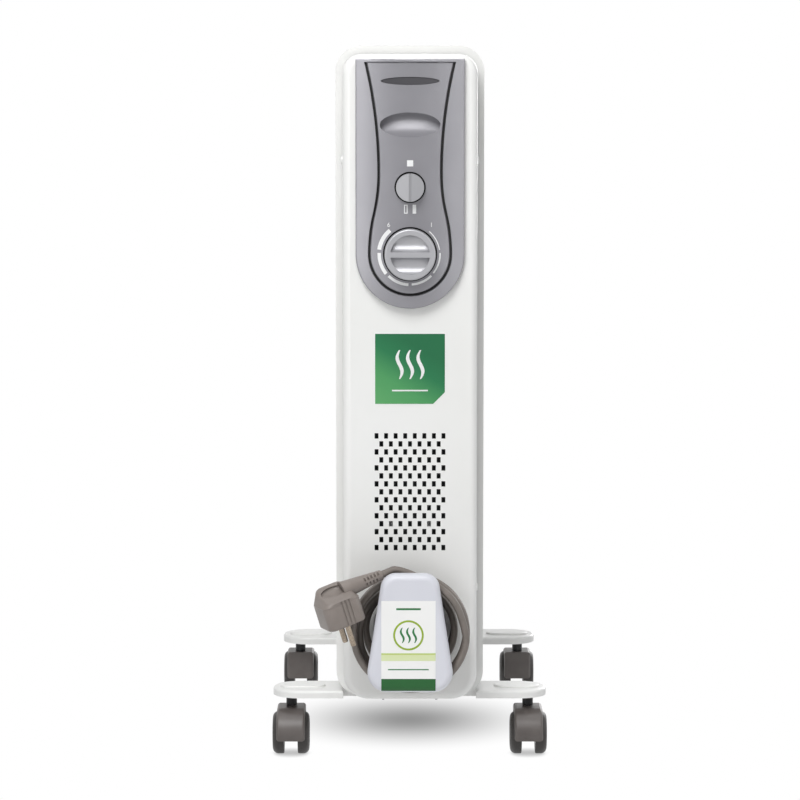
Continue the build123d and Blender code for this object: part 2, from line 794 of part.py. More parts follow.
# Cord gland: a low block on the cover that turns the cord out sideways, along the winding
cord_rear_y = cover_front_y - cord_stand_off - cord_radius
cord_start_z = wrap_z - cord_inner_radius
with BuildPart() as cord_gland:
    with BuildSketch(front_plane(cover_front_y)):
        with Locations((-gland_length / 2, cord_start_z)):
            RectangleRounded(gland_length, gland_width, moulding_corner)
    extrude(amount=gland_height)
    with BuildSketch(front_plane(cover_front_y)):
        with Locations((-gland_length / 2, cord_start_z)):
            Circle(gland_neck_radius)
    extrude(amount=-gland_neck_length)
save(cord_gland.part, "cord_gland")


# Mains cord: one tube from the gland round the bobbin to the plug
def winding_point(turn):
    """The centre of the cord after a number of turns from the bottom of the winding."""
    climb_end = cord_inner_turns + cord_climb_turns
    climb = min(max((turn - cord_inner_turns) / cord_climb_turns, 0), 1)
    radius = cord_inner_radius + climb * (cord_outer_radius - cord_inner_radius)
    layer_turns = min(turn, cord_inner_turns) + climb * cord_climb_turns / 2 + max(turn - climb_end, 0)
    angle = math.radians(360 * turn - 90)
    return Vector(radius * math.cos(angle), cord_rear_y - cord_pitch * layer_turns,
                  wrap_z + radius * math.sin(angle))


def winding_direction(turn, step=0.01):
    """The cord's direction along the winding, from two points close to a turn."""
    return (winding_point(turn + step) - winding_point(turn - step)).normalized()


def biarc(start, start_direction, end, end_direction):
    """Draws two tangent arcs from one point and direction to another."""
    chord = end - start
    total = start_direction + end_direction
    spread = 2 * (1 - start_direction.dot(end_direction))
    along = chord.dot(total)
    reach = (math.sqrt(along * along + spread * chord.dot(chord)) - along) / spread
    middle = (start + start_direction * reach + end - end_direction * reach) / 2
    middle_direction = (end - end_direction * reach - start - start_direction * reach).normalized()
    TangentArc(start, middle, tangent=start_direction)
    TangentArc(middle, end, tangent=middle_direction)


plug_direction = Vector(-math.cos(math.radians(plug_tilt)) * math.cos(math.radians(plug_swing)),
                        -math.cos(math.radians(plug_tilt)) * math.sin(math.radians(plug_swing)),
                        -math.sin(math.radians(plug_tilt)))
winding_turns = cord_inner_turns + cord_climb_turns + cord_outer_turns
winding_end = winding_point(winding_turns)
shoulder_turn = winding_turns + 1 / 8
shoulder_out = Vector(1, 0, 1).normalized()
shoulder_point = winding_point(shoulder_turn) + shoulder_out * cord_shoulder_rise
plug_point = Vector(-plug_reach, winding_end.Y - plug_forward, wrap_z + cord_outer_radius + plug_rise)

quarter_turns = [quarter / 4 for quarter in range(round(4 * winding_turns) + 1)]
stations = [(winding_point(turn), winding_direction(turn)) for turn in quarter_turns]
stations[0] = (Vector(cord_diameter, cord_rear_y, cord_start_z), Vector(1, 0, 0))
stations.append((shoulder_point, winding_direction(shoulder_turn)))
stations.append((plug_point - plug_direction * cord_diameter, plug_direction))
with BuildPart() as mains_cord:
    with BuildLine() as cord_path:
        Line((0, cord_rear_y, cord_start_z), stations[0][0])
        for (start, start_direction), (end, end_direction) in zip(stations, stations[1:]):
            biarc(start, start_direction, end, end_direction)
        Line(stations[-1][0], plug_point)
    with BuildSketch(Plane(origin=(0, cord_rear_y, cord_start_z), z_dir=(1, 0, 0))):
        Circle(cord_radius)
    sweep()
save(mains_cord.part, "mains_cord")

cord_length = cord_path.wires()[0].length
sample_count = round(cord_length / 2)
samples = [tuple(cord_path.wires()[0] @ (index / sample_count)) for index in range(sample_count + 1)]
skip = math.ceil(3 * cord_diameter / 2)
self_gap = min(math.dist(samples[first], samples[second])
               for first in range(len(samples))
               for second in range(first + skip, len(samples))) - cord_diameter
tightest = min(edge.radius for edge in cord_path.edges().filter_by(GeomType.CIRCLE))
print(f"cord: {cord_length:.0f} mm long, least gap to itself {self_gap:.2f} mm, "
      f"tightest radius {tightest:.1f} mm")
print(f"cord: volume {mains_cord.part.volume:.0f}, section times length "
      f"{math.pi * cord_radius ** 2 * cord_length:.0f} cubic mm")

# Plug: a right-angle grip on a base with two round pins, with a tapered strain relief on the cord
side_direction = Vector(0, 0, 1).cross(plug_direction).normalized()
pin_direction = side_direction.cross(plug_direction).normalized()
base_middle = plug_relief_length + plug_base_length / 2
plug_base_top = plug_point + plug_direction * base_middle + pin_direction * plug_drop
relief_end = plug_point + plug_direction * (plug_relief_length + plug_relief_sink)
with BuildPart() as plug:
    with BuildSketch(Plane(origin=plug_base_top, x_dir=plug_direction, z_dir=pin_direction)):
        RectangleRounded(plug_base_length, plug_base_width, plug_corner)
    extrude(amount=plug_base_height)
    with BuildSketch(Plane(origin=plug_base_top, x_dir=plug_direction, z_dir=pin_direction)):
        RectangleRounded(plug_base_length, plug_base_width, plug_corner)
    extrude(amount=-plug_grip_height, taper=plug_grip_taper)
    end_faces = plug.faces().sort_by(Axis(plug_base_top, pin_direction))
    fillet(end_faces[0].edges() + end_faces[-1].edges(), plug_edge)
    with BuildSketch(Plane(origin=plug_point, x_dir=side_direction, z_dir=plug_direction)):
        Circle(plug_relief_tip)
    with BuildSketch(Plane(origin=relief_end, x_dir=side_direction, z_dir=plug_direction)):
        Circle(plug_relief_root)
    loft()
save(plug.part, "plug")

plug_face = plug_base_top + pin_direction * plug_base_height
with BuildPart() as plug_pins:
    with BuildSketch(Plane(origin=plug_face, x_dir=plug_direction, z_dir=pin_direction)):
        with GridLocations(1, pin_spacing, 1, 2):
            Circle(pin_radius)
    extrude(amount=pin_length)
    fillet(plug_pins.faces().sort_by(Axis.Z)[:2].edges(), pin_round)
save(plug_pins.part, "plug_pins")


# Feet: pressed channels that pass between two fins and widen under the fins' lower corners
def foot_outline(inset):
    """Draws a foot seen from above, drawn in by an inset: two round-ended wings on a narrower neck."""
    wing_root = fin_width / 2 - foot_tuck
    wing_length = foot_length / 2 - wing_root
    wing_x = wing_root + wing_length / 2
    Rectangle(2 * (wing_root + inset + foot_neck_overlap), foot_neck_width - 2 * inset)
    with Locations((-wing_x, 0), (wing_x, 0)):
        RectangleRounded(wing_length - 2 * inset, foot_width - 2 * inset, foot_corner - inset)
    with Locations((-wing_root - inset, 0)):
        Rectangle(wing_length / 2 - inset, foot_width - 2 * inset, align=(Align.MAX, Align.CENTER))
    with Locations((wing_root + inset, 0)):
        Rectangle(wing_length / 2 - inset, foot_width - 2 * inset, align=(Align.MIN, Align.CENTER))


u_bolt_centre = header_radius + header_seat_gap + u_bolt_radius
for foot_name, y in zip(("front_foot", "rear_foot"), foot_y):
    with BuildPart() as foot:
        with BuildSketch(Plane((0, y, foot_top))):
            foot_outline(0)
        extrude(amount=-foot_lip)
        fillet(foot.faces().sort_by(Axis.Z)[-1].edges(), foot_edge)
        with BuildSketch(Plane((0, y, foot_under))):
            foot_outline(foot_sheet)
        extrude(amount=-foot_lip, mode=Mode.SUBTRACT)
        with BuildSketch(Plane((0, y, foot_top))):
            with Locations((-foot_bead_x, 0), (foot_bead_x, 0)):
                SlotOverall(foot_bead_length, foot_bead_width)
        extrude(amount=foot_bead_height)
        fillet(foot.faces().sort_by(Axis.Z)[-2:].edges(), foot_bead_round)
        with BuildSketch(Plane((0, y, foot_top))):
            with Locations((-stem_x, 0), (stem_x, 0)):
                Circle(stem_radius + axle_clearance)
            with Locations((-u_bolt_centre, 0), (u_bolt_centre, 0)):
                Circle(u_bolt_radius + u_bolt_hole_clearance)
        extrude(amount=-foot_lip, mode=Mode.SUBTRACT)
    save(foot.part, foot_name)

# U-bolts over the bottom header, with wing nuts under the feet
with BuildPart() as foot_u_bolts:
    for y in foot_y:
        with BuildLine() as bolt_path:
            leg = Line((-u_bolt_centre, y, u_bolt_end), (-u_bolt_centre, y, header_low_z))
            bow = TangentArc(leg @ 1, (u_bolt_centre, y, header_low_z), tangent=(0, 0, 1))
            Line(bow @ 1, (u_bolt_centre, y, u_bolt_end))
        with BuildSketch(Plane((-u_bolt_centre, y, u_bolt_end))):
            Circle(u_bolt_radius)
        sweep(path=bolt_path.line)
save(foot_u_bolts.part, "foot_u_bolts")

with BuildPart() as foot_wing_nuts:
    nut_places = [(side * u_bolt_centre, y) for y in foot_y for side in (-1, 1)]
    with BuildSketch(Plane.XY.offset(foot_under)):
        with Locations(*nut_places):
            Circle(wing_nut_radius)
    extrude(amount=-wing_nut_height)
    with BuildSketch(Plane.XY.offset(foot_under - wing_nut_height)):
        with Locations(*nut_places):
            Rectangle(wing_thickness, wing_span)
    extrude(amount=-wing_height)
    with BuildSketch(Plane.XY.offset(foot_under)):
        with Locations(*nut_places):
            Circle(u_bolt_radius + axle_seat_clearance)
    extrude(amount=-wing_nut_height - wing_height, mode=Mode.SUBTRACT)
save(foot_wing_nuts.part, "foot_wing_nuts")

# Casters: fixed stems, turning hoods, axles and two wheels each
stem_places = [(side * stem_x, y) for y in foot_y for side in (-1, 1)]
with BuildPart() as caster_stems:
    with BuildSketch(Plane.XY.offset(foot_top)):
        with Locations(*stem_places):
            Circle(stem_radius)
    extrude(amount=-(foot_top - hood_top + stem_depth))
    with BuildSketch(Plane.XY.offset(foot_under)):
        with Locations(*stem_places):
            Circle(stem_neck_radius)
    extrude(amount=-(foot_under - hood_top - stem_gap))
save(caster_stems.part, "caster_stems")

# One caster, with its stem's axis on Z and its wheels trailing towards -Y
with BuildPart() as hood:
    with BuildSketch(Plane.YZ):
        with BuildLine():
            Polyline((hood_front_y, hood_bottom), (hood_boss_half, hood_bottom), (hood_boss_half, hood_top),
                     (-caster_trail, hood_top))
            TangentArc((-caster_trail, hood_top), (hood_front_y, hood_bottom), tangent=(-1, 0))
        make_face()
    extrude(amount=hood_width / 2, both=True)
    side_faces = hood.faces().filter_by(Axis.X)
    fillet(side_faces.edges(), hood_round)
    for side in (-1, 1):
        wheel_side = Plane(origin=(side * hood_web / 2, -caster_trail, wheel_radius), z_dir=(side, 0, 0))
        with BuildSketch(wheel_side):
            Circle(wheel_radius + wheel_fender_gap)
        extrude(amount=hood_width, mode=Mode.SUBTRACT)
    with BuildSketch(Plane(origin=(0, -caster_trail, wheel_radius), z_dir=(1, 0, 0))):
        Circle(axle_radius + axle_seat_clearance)
    extrude(amount=hood_width, both=True, mode=Mode.SUBTRACT)
    with BuildSketch(Plane.XY.offset(hood_top)):
        Circle(stem_radius + axle_clearance)
    extrude(amount=-(stem_depth + stem_gap), mode=Mode.SUBTRACT)

wheel_inner = hood_web / 2 + wheel_side_gap
wheel_outer = wheel_inner + wheel_width
with BuildPart() as axle:
    with BuildSketch(Plane(origin=(0, -caster_trail, wheel_radius), z_dir=(1, 0, 0))):
        Circle(axle_radius)
    extrude(amount=wheel_outer - wheel_cap - axle_end_gap, both=True)

# A wheel on the +X side: its rim is rounded and its outer face is dished
with BuildPart() as wheel:
    with BuildSketch(Plane(origin=(wheel_inner, -caster_trail, wheel_radius), z_dir=(1, 0, 0))):
        Circle(wheel_radius)
    extrude(amount=wheel_width)
    fillet(wheel.faces().sort_by(Axis.X)[-1].edges(), wheel_crown)
    fillet(wheel.faces().sort_by(Axis.X)[0].edges(), wheel_dish_round)
    with BuildSketch(Plane(origin=(wheel_outer, -caster_trail, wheel_radius), z_dir=(1, 0, 0))):
        Circle(wheel_dish_radius)
        Circle(wheel_hub_radius, mode=Mode.SUBTRACT)
    extrude(amount=-wheel_dish, mode=Mode.SUBTRACT)
    with BuildSketch(Plane(origin=(wheel_inner, -caster_trail, wheel_radius), z_dir=(1, 0, 0))):
        Circle(axle_radius + axle_clearance)
    extrude(amount=wheel_width - wheel_cap, mode=Mode.SUBTRACT)

caster_names = ("front_left", "front_right", "rear_left", "rear_right")
caster_turns = (0, 0, 180, 180)
for caster, (x, y), turn in zip(caster_names, stem_places, caster_turns):
    place = Location((x, y, 0), (0, 0, turn))
    flip = place * Location((0, -2 * caster_trail, 0), (0, 0, 180))
    save(hood.part.moved(place), f"{caster}_caster_hood")
    save(axle.part.moved(place), f"{caster}_caster_axle")
    save(wheel.part.moved(place), f"{caster}_caster_wheel_a")
    save(wheel.part.moved(flip), f"{caster}_caster_wheel_b")
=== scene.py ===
"""Looks of an oil filled radiator heater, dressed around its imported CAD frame.

Blender works in metres; sizes below are in millimetres and are turned to metres where they are used.
X runs across the heater, Y from its control box (-Y) to its back (+Y), Z up from the floor.
"""

import logging
import math
from collections.abc import Callable
from dataclasses import dataclass, field
from enum import Enum

import bpy
from bpy.types import Material, Node, NodeSocket, NodeTree, Object
from mathutils import Matrix, Vector

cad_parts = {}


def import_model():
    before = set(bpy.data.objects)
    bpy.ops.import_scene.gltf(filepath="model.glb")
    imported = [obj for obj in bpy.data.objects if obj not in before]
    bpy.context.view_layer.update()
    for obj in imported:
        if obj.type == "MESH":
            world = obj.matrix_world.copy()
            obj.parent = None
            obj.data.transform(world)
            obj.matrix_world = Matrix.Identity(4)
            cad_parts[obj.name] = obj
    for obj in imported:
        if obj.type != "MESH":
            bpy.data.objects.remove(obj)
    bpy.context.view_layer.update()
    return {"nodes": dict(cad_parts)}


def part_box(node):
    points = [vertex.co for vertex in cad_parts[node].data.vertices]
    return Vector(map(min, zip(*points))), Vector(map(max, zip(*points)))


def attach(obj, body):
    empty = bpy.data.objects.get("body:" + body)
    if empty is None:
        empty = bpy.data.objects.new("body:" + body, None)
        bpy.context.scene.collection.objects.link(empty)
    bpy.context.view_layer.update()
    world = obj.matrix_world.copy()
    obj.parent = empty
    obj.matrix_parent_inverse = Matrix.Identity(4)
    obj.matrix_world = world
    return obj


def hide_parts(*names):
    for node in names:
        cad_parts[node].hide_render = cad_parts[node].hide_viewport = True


MM = 0.001
CORNER_SEGMENTS = 7
EDGE_SEGMENTS = 3
ROUND_SEGMENTS = 48
SAME_LEVEL = 1e-7
Pair = tuple[float, float]
Triple = tuple[float, float, float]
log = logging.getLogger("heater")


def linear(colour: str) -> tuple[float, float, float, float]:
    """Turns an sRGB hex colour to linear light.

    Args:
        colour: six hex digits after a hash sign.

    Returns:
        Linear red, green, blue and an alpha of 1.
    """
    channels = [int(colour[start:start + 2], 16) / 255 for start in (1, 3, 5)]
    red, green, blue = [c / 12.92 if c <= 0.04045 else ((c + 0.055) / 1.055) ** 2.4 for c in channels]
    return red, green, blue, 1.0


def add_node(tree: NodeTree, kind: str, settings: dict | None = None, inputs: dict | None = None) -> Node:
    """Adds a shader node with its settings, and sets or links its inputs.

    Args:
        tree: the node tree that takes the node.
        kind: the node's type name, without what all shader nodes start with.
        settings: attributes of the node.
        inputs: values or output sockets for the node's inputs, by name or number.

    Returns:
        The new node.
    """
    node = tree.nodes.new("ShaderNode" + kind)
    for name, value in (settings or {}).items():
        setattr(node, name, value)
    for name, value in (inputs or {}).items():
        if isinstance(value, NodeSocket):
            tree.links.new(value, node.inputs[name])
        else:
            node.inputs[name].default_value = value
    return node


def ramp(tree: NodeTree, factor: NodeSocket, stops: list[tuple[float, str]],
         interpolation: str = "LINEAR") -> NodeSocket:
    """Colours a value by a row of stops.

    Args:
        tree: the node tree.
        factor: the value, from 0 to 1.
        stops: places and hex colours, in order.
        interpolation: how colours run between stops.

    Returns:
        The colour's socket.
    """
    node = add_node(tree, "ValToRGB", inputs={"Fac": factor})
    node.color_ramp.interpolation = interpolation
    elements = node.color_ramp.elements
    while len(elements) < len(stops):
        elements.new(1.0)
    for element, (place, colour) in zip(elements, stops):
        element.position = place
        element.color = linear(colour)
    return node.outputs["Color"]


@dataclass(frozen=True)
class Finish:
    """A surface with a fine relief and slow changes of tone and gloss, at real sizes."""

    name: str
    colour: str
    shade: str
    roughness: float
    metallic: float = 0.0
    coat: float = 0.0
    ior: float = 1.5
    grain_mm: float = 1.2
    relief_mm: float = 0.02
    tone_mm: float = 60.0
    gloss_change: float = 0.03
    stretch: Triple = (1.0, 1.0, 1.0)

    def coordinates(self, tree: NodeTree) -> NodeSocket:
        """Gives the piece's own coordinates, drawn out along the finish's working direction."""
        place = add_node(tree, "TexCoord")
        mapping = add_node(tree, "Mapping", inputs={
            "Vector": place.outputs["Object"], "Scale": self.stretch})
        return mapping.outputs["Vector"]

    def tone(self, tree: NodeTree, vector: NodeSocket) -> NodeSocket:
        """Gives the surface's colour, which wanders between the finish's two tones."""
        cloud = add_node(tree, "TexNoise", inputs={
            "Vector": vector, "Scale": 1 / (self.tone_mm * MM), "Detail": 3.0, "Roughness": 0.55})
        return ramp(tree, cloud.outputs["Fac"], [(0.3, self.shade), (0.7, self.colour)])

    def relief(self, tree: NodeTree, vector: NodeSocket) -> NodeSocket:
        """Gives the height of the surface's fine grain, from 0 to 1."""
        grain = add_node(tree, "TexNoise", inputs={
            "Vector": vector, "Scale": 1 / (self.grain_mm * MM), "Detail": 2.0, "Roughness": 0.5})
        return grain.outputs["Fac"]

    def material(self) -> Material:
        """Builds the finish's material.

        Returns:
            A new material, or the one that was built before.
        """
        made = bpy.data.materials.get(self.name)
        if made:
            return made
        material = bpy.data.materials.new(self.name)
        material.use_nodes = True
        tree = material.node_tree
        shader = tree.nodes["Principled BSDF"]
        vector = self.coordinates(tree)
        height = self.relief(tree, vector)
        gloss = add_node(tree, "MapRange", inputs={
            "Value": height, "From Min": 0.3, "From Max": 0.7,
            "To Min": self.roughness - self.gloss_change, "To Max": self.roughness + self.gloss_change})
        bump = add_node(tree, "Bump", inputs={
            "Height": height, "Distance": self.relief_mm * MM, "Strength": 1.0})
        tree.links.new(self.tone(tree, vector), shader.inputs["Base Color"])
        tree.links.new(gloss.outputs["Result"], shader.inputs["Roughness"])
        tree.links.new(bump.outputs["Normal"], shader.inputs["Normal"])
        shader.inputs["Metallic"].default_value = self.metallic
        shader.inputs["IOR"].default_value = self.ior
        shader.inputs["Coat Weight"].default_value = self.coat
        shader.inputs["Coat Roughness"].default_value = self.roughness / 2
        return material

    def dress(self, piece: Object) -> None:
        """Gives a piece this finish, in place of any it has."""
        piece.data.materials.clear()
        piece.data.materials.append(self.material())


@dataclass(frozen=True)
class PrintedPaper(Finish):
    """A printed paper label whose colour runs or steps along one direction across it."""

    start: Triple = (0.0, 0.0, 0.0)
    end: Triple = (0.0, 0.0, 1.0)
    stops: tuple[tuple[float, str], ...] = ()
    stepped: bool = True

    def tone(self, tree: NodeTree, vector: NodeSocket) -> NodeSocket:
        """Gives the print's colour at a place between its start and its end."""
        along = Vector(self.end) - Vector(self.start)
        offset = add_node(tree, "VectorMath", {"operation": "SUBTRACT"}, {0: vector, 1: self.start})
        share = add_node(tree, "VectorMath", {"operation": "DOT_PRODUCT"}, {
            0: offset.outputs["Vector"], 1: tuple(along / along.length_squared)})
        return ramp(tree, share.outputs["Value"], list(self.stops), "CONSTANT" if self.stepped else "LINEAR")


class Look(Enum):
    """The heater's finishes, most named for their real material and how the surface was made; a few also
    carry painted shade.
    """

    # Baked enamel on steel sheet: a soft white gloss with a faint orange peel
    ENAMEL = Finish("baked_white_enamel", "#F0F0EE", "#ECECE9", 0.32, grain_mm=3.0, relief_mm=0.003, coat=0.2,
                    gloss_change=0.015, tone_mm=140.0)
    # Silver-grey lacquer on moulded ABS: a satin gloss with a fine metallic grain
    LACQUER = Finish("silver_grey_lacquer", "#959499", "#8E8D92", 0.31, metallic=0.3, coat=0.2, grain_mm=0.6,
                     relief_mm=0.0015, gloss_change=0.02)
    # The same lacquer on the switch knob: a paler satin with more flake
    KNOB_LACQUER = Finish("pale_silver_lacquer", "#A6A6A9", "#9C9CA0", 0.3, metallic=0.5, coat=0.2,
                          grain_mm=2.0, relief_mm=0.0015, gloss_change=0.02)
    # Bright silver lacquer on the thermostat knob: smooth, with a soft metallic sheen
    SILVER = Finish("bright_silver_lacquer", "#B0B0B3", "#A7A7AB", 0.4, metallic=0.6, grain_mm=0.6,
                    relief_mm=0.001, gloss_change=0.02)
    # Smoked acrylic: grey and glossy
    SMOKED = Finish("smoked_acrylic", "#5C5B5E", "#504F52", 0.12, ior=1.49, relief_mm=0.001,
                    gloss_change=0.02)
    # Soft black seal strip: dull, with a fine grain
    SEAL = Finish("black_seal_strip", "#141414", "#0E0E0E", 0.7, grain_mm=0.6)
    # Zinc plated steel: dull bright metal with fine drawing lines along Z
    ZINC = Finish("zinc_plated_steel", "#B9BABA", "#9C9D9E", 0.36, metallic=1.0, grain_mm=0.6, relief_mm=0.01,
                  tone_mm=12.0, stretch=(1.0, 1.0, 0.08))
    # Zinc phosphate on steel sheet, dark grey and dull; its darkness is also painted shade, so what shows
    # through the holes in front of it stays black
    PHOSPHATE = Finish("phosphate_and_painted_shade", "#343536", "#2A2B2C", 0.6, metallic=0.2, grain_mm=0.8,
                       tone_mm=20.0)
    # Dark steel of the caster stems: the dark colour is painted shade for stems in the shadow of the feet,
    # with a dull metallic gleam
    BLACK_STEEL = Finish("dark_stem_steel_shade", "#2A2A2B", "#1E1E1F", 0.42, metallic=0.6, grain_mm=0.6,
                         tone_mm=8.0)
    # Nickel plated brass: slightly warm, dulled by use
    NICKEL = Finish("nickel_plated_brass", "#A99C8C", "#8C8073", 0.3, metallic=1.0, grain_mm=0.5,
                    relief_mm=0.006, tone_mm=4.0, gloss_change=0.08)
    # Cool white polypropylene, moulded: satin, with a fine spark-eroded grain
    COOL_WHITE = Finish("cool_white_polypropylene", "#DEDFE6", "#D8D9E1", 0.36, grain_mm=0.8, relief_mm=0.003,
                        tone_mm=80.0)
    # Grey PVC sheath: dull and faintly uneven
    SHEATH = Finish("grey_pvc_sheath", "#7D756F", "#6E6761", 0.42, grain_mm=0.9, relief_mm=0.012,
                    tone_mm=14.0)
    # Grey PVC, moulded on the cord: satin with a fine grain
    PLUG = Finish("grey_moulded_pvc", "#8A817B", "#7F7670", 0.4, grain_mm=0.7, relief_mm=0.008, tone_mm=18.0)
    # Dark nylon of the casters: satin with a grain that catches light along edges
    NYLON = Finish("dark_moulded_nylon", "#625C59", "#57514E", 0.38, grain_mm=0.8, relief_mm=0.01,
                   tone_mm=16.0)
    # Wheel nylon: darker and duller than the hoods, with a coarser grain
    WHEEL = Finish("dark_wheel_nylon", "#302C2A", "#282523", 0.44, grain_mm=0.9, relief_mm=0.02, tone_mm=10.0)
    # Black moulded phenolic of the inner controls and the bobbin: dull, almost without tone
    PHENOLIC = Finish("black_phenolic", "#1C1B1B", "#151414", 0.5, grain_mm=0.8)
    # Amber glass of the pilot lamp behind the window: clear colour and a sharp gloss
    LAMP = Finish("amber_lamp_glass", "#D8702A", "#B85A20", 0.12, grain_mm=1.0)
    # White screen-printed ink: opaque and matt
    INK = Finish("white_screen_ink", "#F2F2F2", "#E6E6E6", 0.5, grain_mm=0.3, relief_mm=0.003)
    # Lime offset ink of the ring on the cap's label: flat colour with a low sheen
    LIME_INK = Finish("lime_offset_ink", "#9CB832", "#8CA82A", 0.4, grain_mm=0.4, relief_mm=0.002)
    # Dark green offset ink of the sign in that ring: the same sheen
    GREEN_INK = Finish("green_offset_ink", "#1E7A3C", "#176A33", 0.4, grain_mm=0.4, relief_mm=0.002)
    # Black sheet in the pocket behind each knob, as painted shade: rough, so the gap looks deep
    FELT = Finish("painted_knob_shade", "#101010", "#0A0A0A", 0.9, grain_mm=0.4, relief_mm=0.05)


def deselect() -> None:
    """Leaves edit mode, and leaves nothing selected or active."""
    if bpy.context.object and bpy.context.object.mode != "OBJECT":
        bpy.ops.object.mode_set(mode="OBJECT")
    bpy.ops.object.select_all(action="DESELECT")
    bpy.context.view_layer.objects.active = None


def focus(piece: Object) -> None:
    """Selects one piece alone and makes it active."""
    deselect()
    piece.select_set(True)
    bpy.context.view_layer.objects.active = piece


def bake_place(piece: Object) -> None:
    """Puts a piece's place into its mesh, and its object at the origin."""
    bpy.context.view_layer.update()
    piece.data.transform(piece.matrix_world)
    piece.matrix_world = Matrix.Identity(4)
    piece.data.update()


def apply_modifier(piece: Object, kind: str, **settings: object) -> None:
    """Adds a modifier to a piece, sets it up and applies it.

    Args:
        piece: the piece to change.
        kind: the modifier's type.
        settings: attributes of the modifier.
    """
    focus(piece)
    modifier = piece.modifiers.new(kind.title(), kind)
    for name, value in settings.items():
        setattr(modifier, name, value)
    bpy.ops.object.modifier_apply(modifier=modifier.name)


def cut(piece: Object, tool: Object, operation: str = "DIFFERENCE") -> None:
    """Combines a piece with a tool shape, which is then deleted.

    Args:
        piece: the piece that stays.
        tool: the shape to cut away or to add.
        operation: DIFFERENCE or UNION.
    """
    apply_modifier(piece, "BOOLEAN", object=tool, operation=operation, solver="EXACT")
    bpy.data.objects.remove(tool)


def smooth(piece: Object, angle: float = 35.0) -> None:
    """Shades a piece smooth across edges up to an angle in degrees."""
    focus(piece)
    bpy.ops.object.shade_smooth_by_angle(angle=math.radians(angle))


def roll_edges(piece: Object, radius: float, segments: int, test: Callable[[Vector, Vector], bool]) -> None:
    """Rolls some edges of a piece.

    Args:
        piece: the piece to change.
        radius: the radius of the roll, in metres.
        segments: the number of flats in the roll.
        test: takes the places of an edge's two ends, and says if the edge is rolled.
    """
    focus(piece)
    bpy.ops.object.mode_set(mode="EDIT")
    bpy.ops.mesh.select_mode(type="EDGE")
    bpy.ops.mesh.select_all(action="DESELECT")
    bpy.ops.object.mode_set(mode="OBJECT")
    places = [vertex.co for vertex in piece.data.vertices]
    for edge in piece.data.edges:
        edge.select = test(*(places[index] for index in edge.vertices))
    bpy.ops.object.mode_set(mode="EDIT")
    bpy.ops.mesh.bevel(offset=radius, segments=segments, affect="EDGES")
    bpy.ops.object.mode_set(mode="OBJECT")


def rounded_block(name: str, low: Vector, high: Vector, corner: float, edge: float) -> Object:
    """Makes a block with round upright corners and rolled top and bottom edges.

    Args:
        name: the piece's name.
        low: the lowest corner, in metres.
        high: the highest corner, in metres.
        corner: the radius of the upright corners.
        edge: the radius of the top and bottom edges.

    Returns:
        The block, at its place.
    """
    deselect()
    bpy.ops.mesh.primitive_cube_add(size=1, location=(low + high) / 2)
    block = bpy.context.object
    block.name = name
    block.scale = high - low
    bake_place(block)
    roll_edges(block, corner, CORNER_SEGMENTS, lambda a, b: abs(a.z - b.z) > (high.z - low.z) / 2)
    for level in (low.z, high.z):
        roll_edges(block, edge, EDGE_SEGMENTS,
                   lambda a, b: max(abs(a.z - level), abs(b.z - level)) < SAME_LEVEL)
    return block


def joined(name: str, pieces: list[Object]) -> Object:
    """Joins pieces into one object.

    Args:
        name: the joined piece's name.
        pieces: the pieces to join.

    Returns:
        The joined piece.
    """
    deselect()
    for piece in pieces:
        piece.select_set(True)
    bpy.context.view_layer.objects.active = pieces[0]
    bpy.ops.object.join()
    pieces[0].name = name
    return pieces[0]


def mounted(piece: Object, body: str, look: Finish) -> None:
    """Lets a finished piece ride on a body, and gives it its finish.

    Args:
        piece: the finished piece.
        body: the name of the body that carries it.
        look: its finish.
    """
    look.dress(piece)
    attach(piece, body)
    log.info("%s rides on %s", piece.name, body)


@dataclass
class Casting:
    """The finishes of the nodes that keep their CAD shape."""

    nodes: dict[str, Object]
    finishes: tuple[tuple[Look, tuple[str, ...]], ...] = (
        (Look.ENAMEL, ("fin_", "front_cover", "front_foot", "rear_foot", "header_caps", "filler_plug",
                       "cover_screws")),
        (Look.LACQUER, ("control_panel", "panel_inlay")),
        (Look.KNOB_LACQUER, ("switch_knob",)),
        (Look.SILVER, ("thermostat_knob",)),
        (Look.SMOKED, ("indicator_lens",)),
        (Look.SEAL, ("panel_seal",)),
        (Look.LAMP, ("pilot_lamp",)),
        (Look.PHENOLIC, ("switch_body", "thermostat_body", "terminal_block", "cord_gland", "cord_bobbin")),
        (Look.COOL_WHITE, ("cord_cap",)),
        # The stems' dark colour is painted shade.
        (Look.BLACK_STEEL, ("caster_stems",)),
        (Look.NICKEL, ("plug_pins",)),
        # The mounting plate's dark grey is partly painted shade.
        (Look.PHOSPHATE, ("mounting_plate",)),
        (Look.ZINC, ("switch_shaft", "thermostat_shaft", "plate_", "bobbin_screws", "foot_u_bolts",
                     "foot_wing_nuts", "heating_element", "thermal_cutout")))

    def dress(self) -> None:
        """Gives every CAD node the finish of its real material; the caster stems and the mounting plate also
        carry painted shade.
        """
        for look, names in self.finishes:
            for node, piece in self.nodes.items():
                if node.startswith(names):
                    look.value.dress(piece)
        for node, piece in self.nodes.items():
            if node.endswith("_caster_hood"):
                Look.NYLON.value.dress(piece)
            elif "_caster_wheel_" in node:
                Look.WHEEL.value.dress(piece)
            elif node.endswith("_caster_axle"):
                Look.ZINC.value.dress(piece)


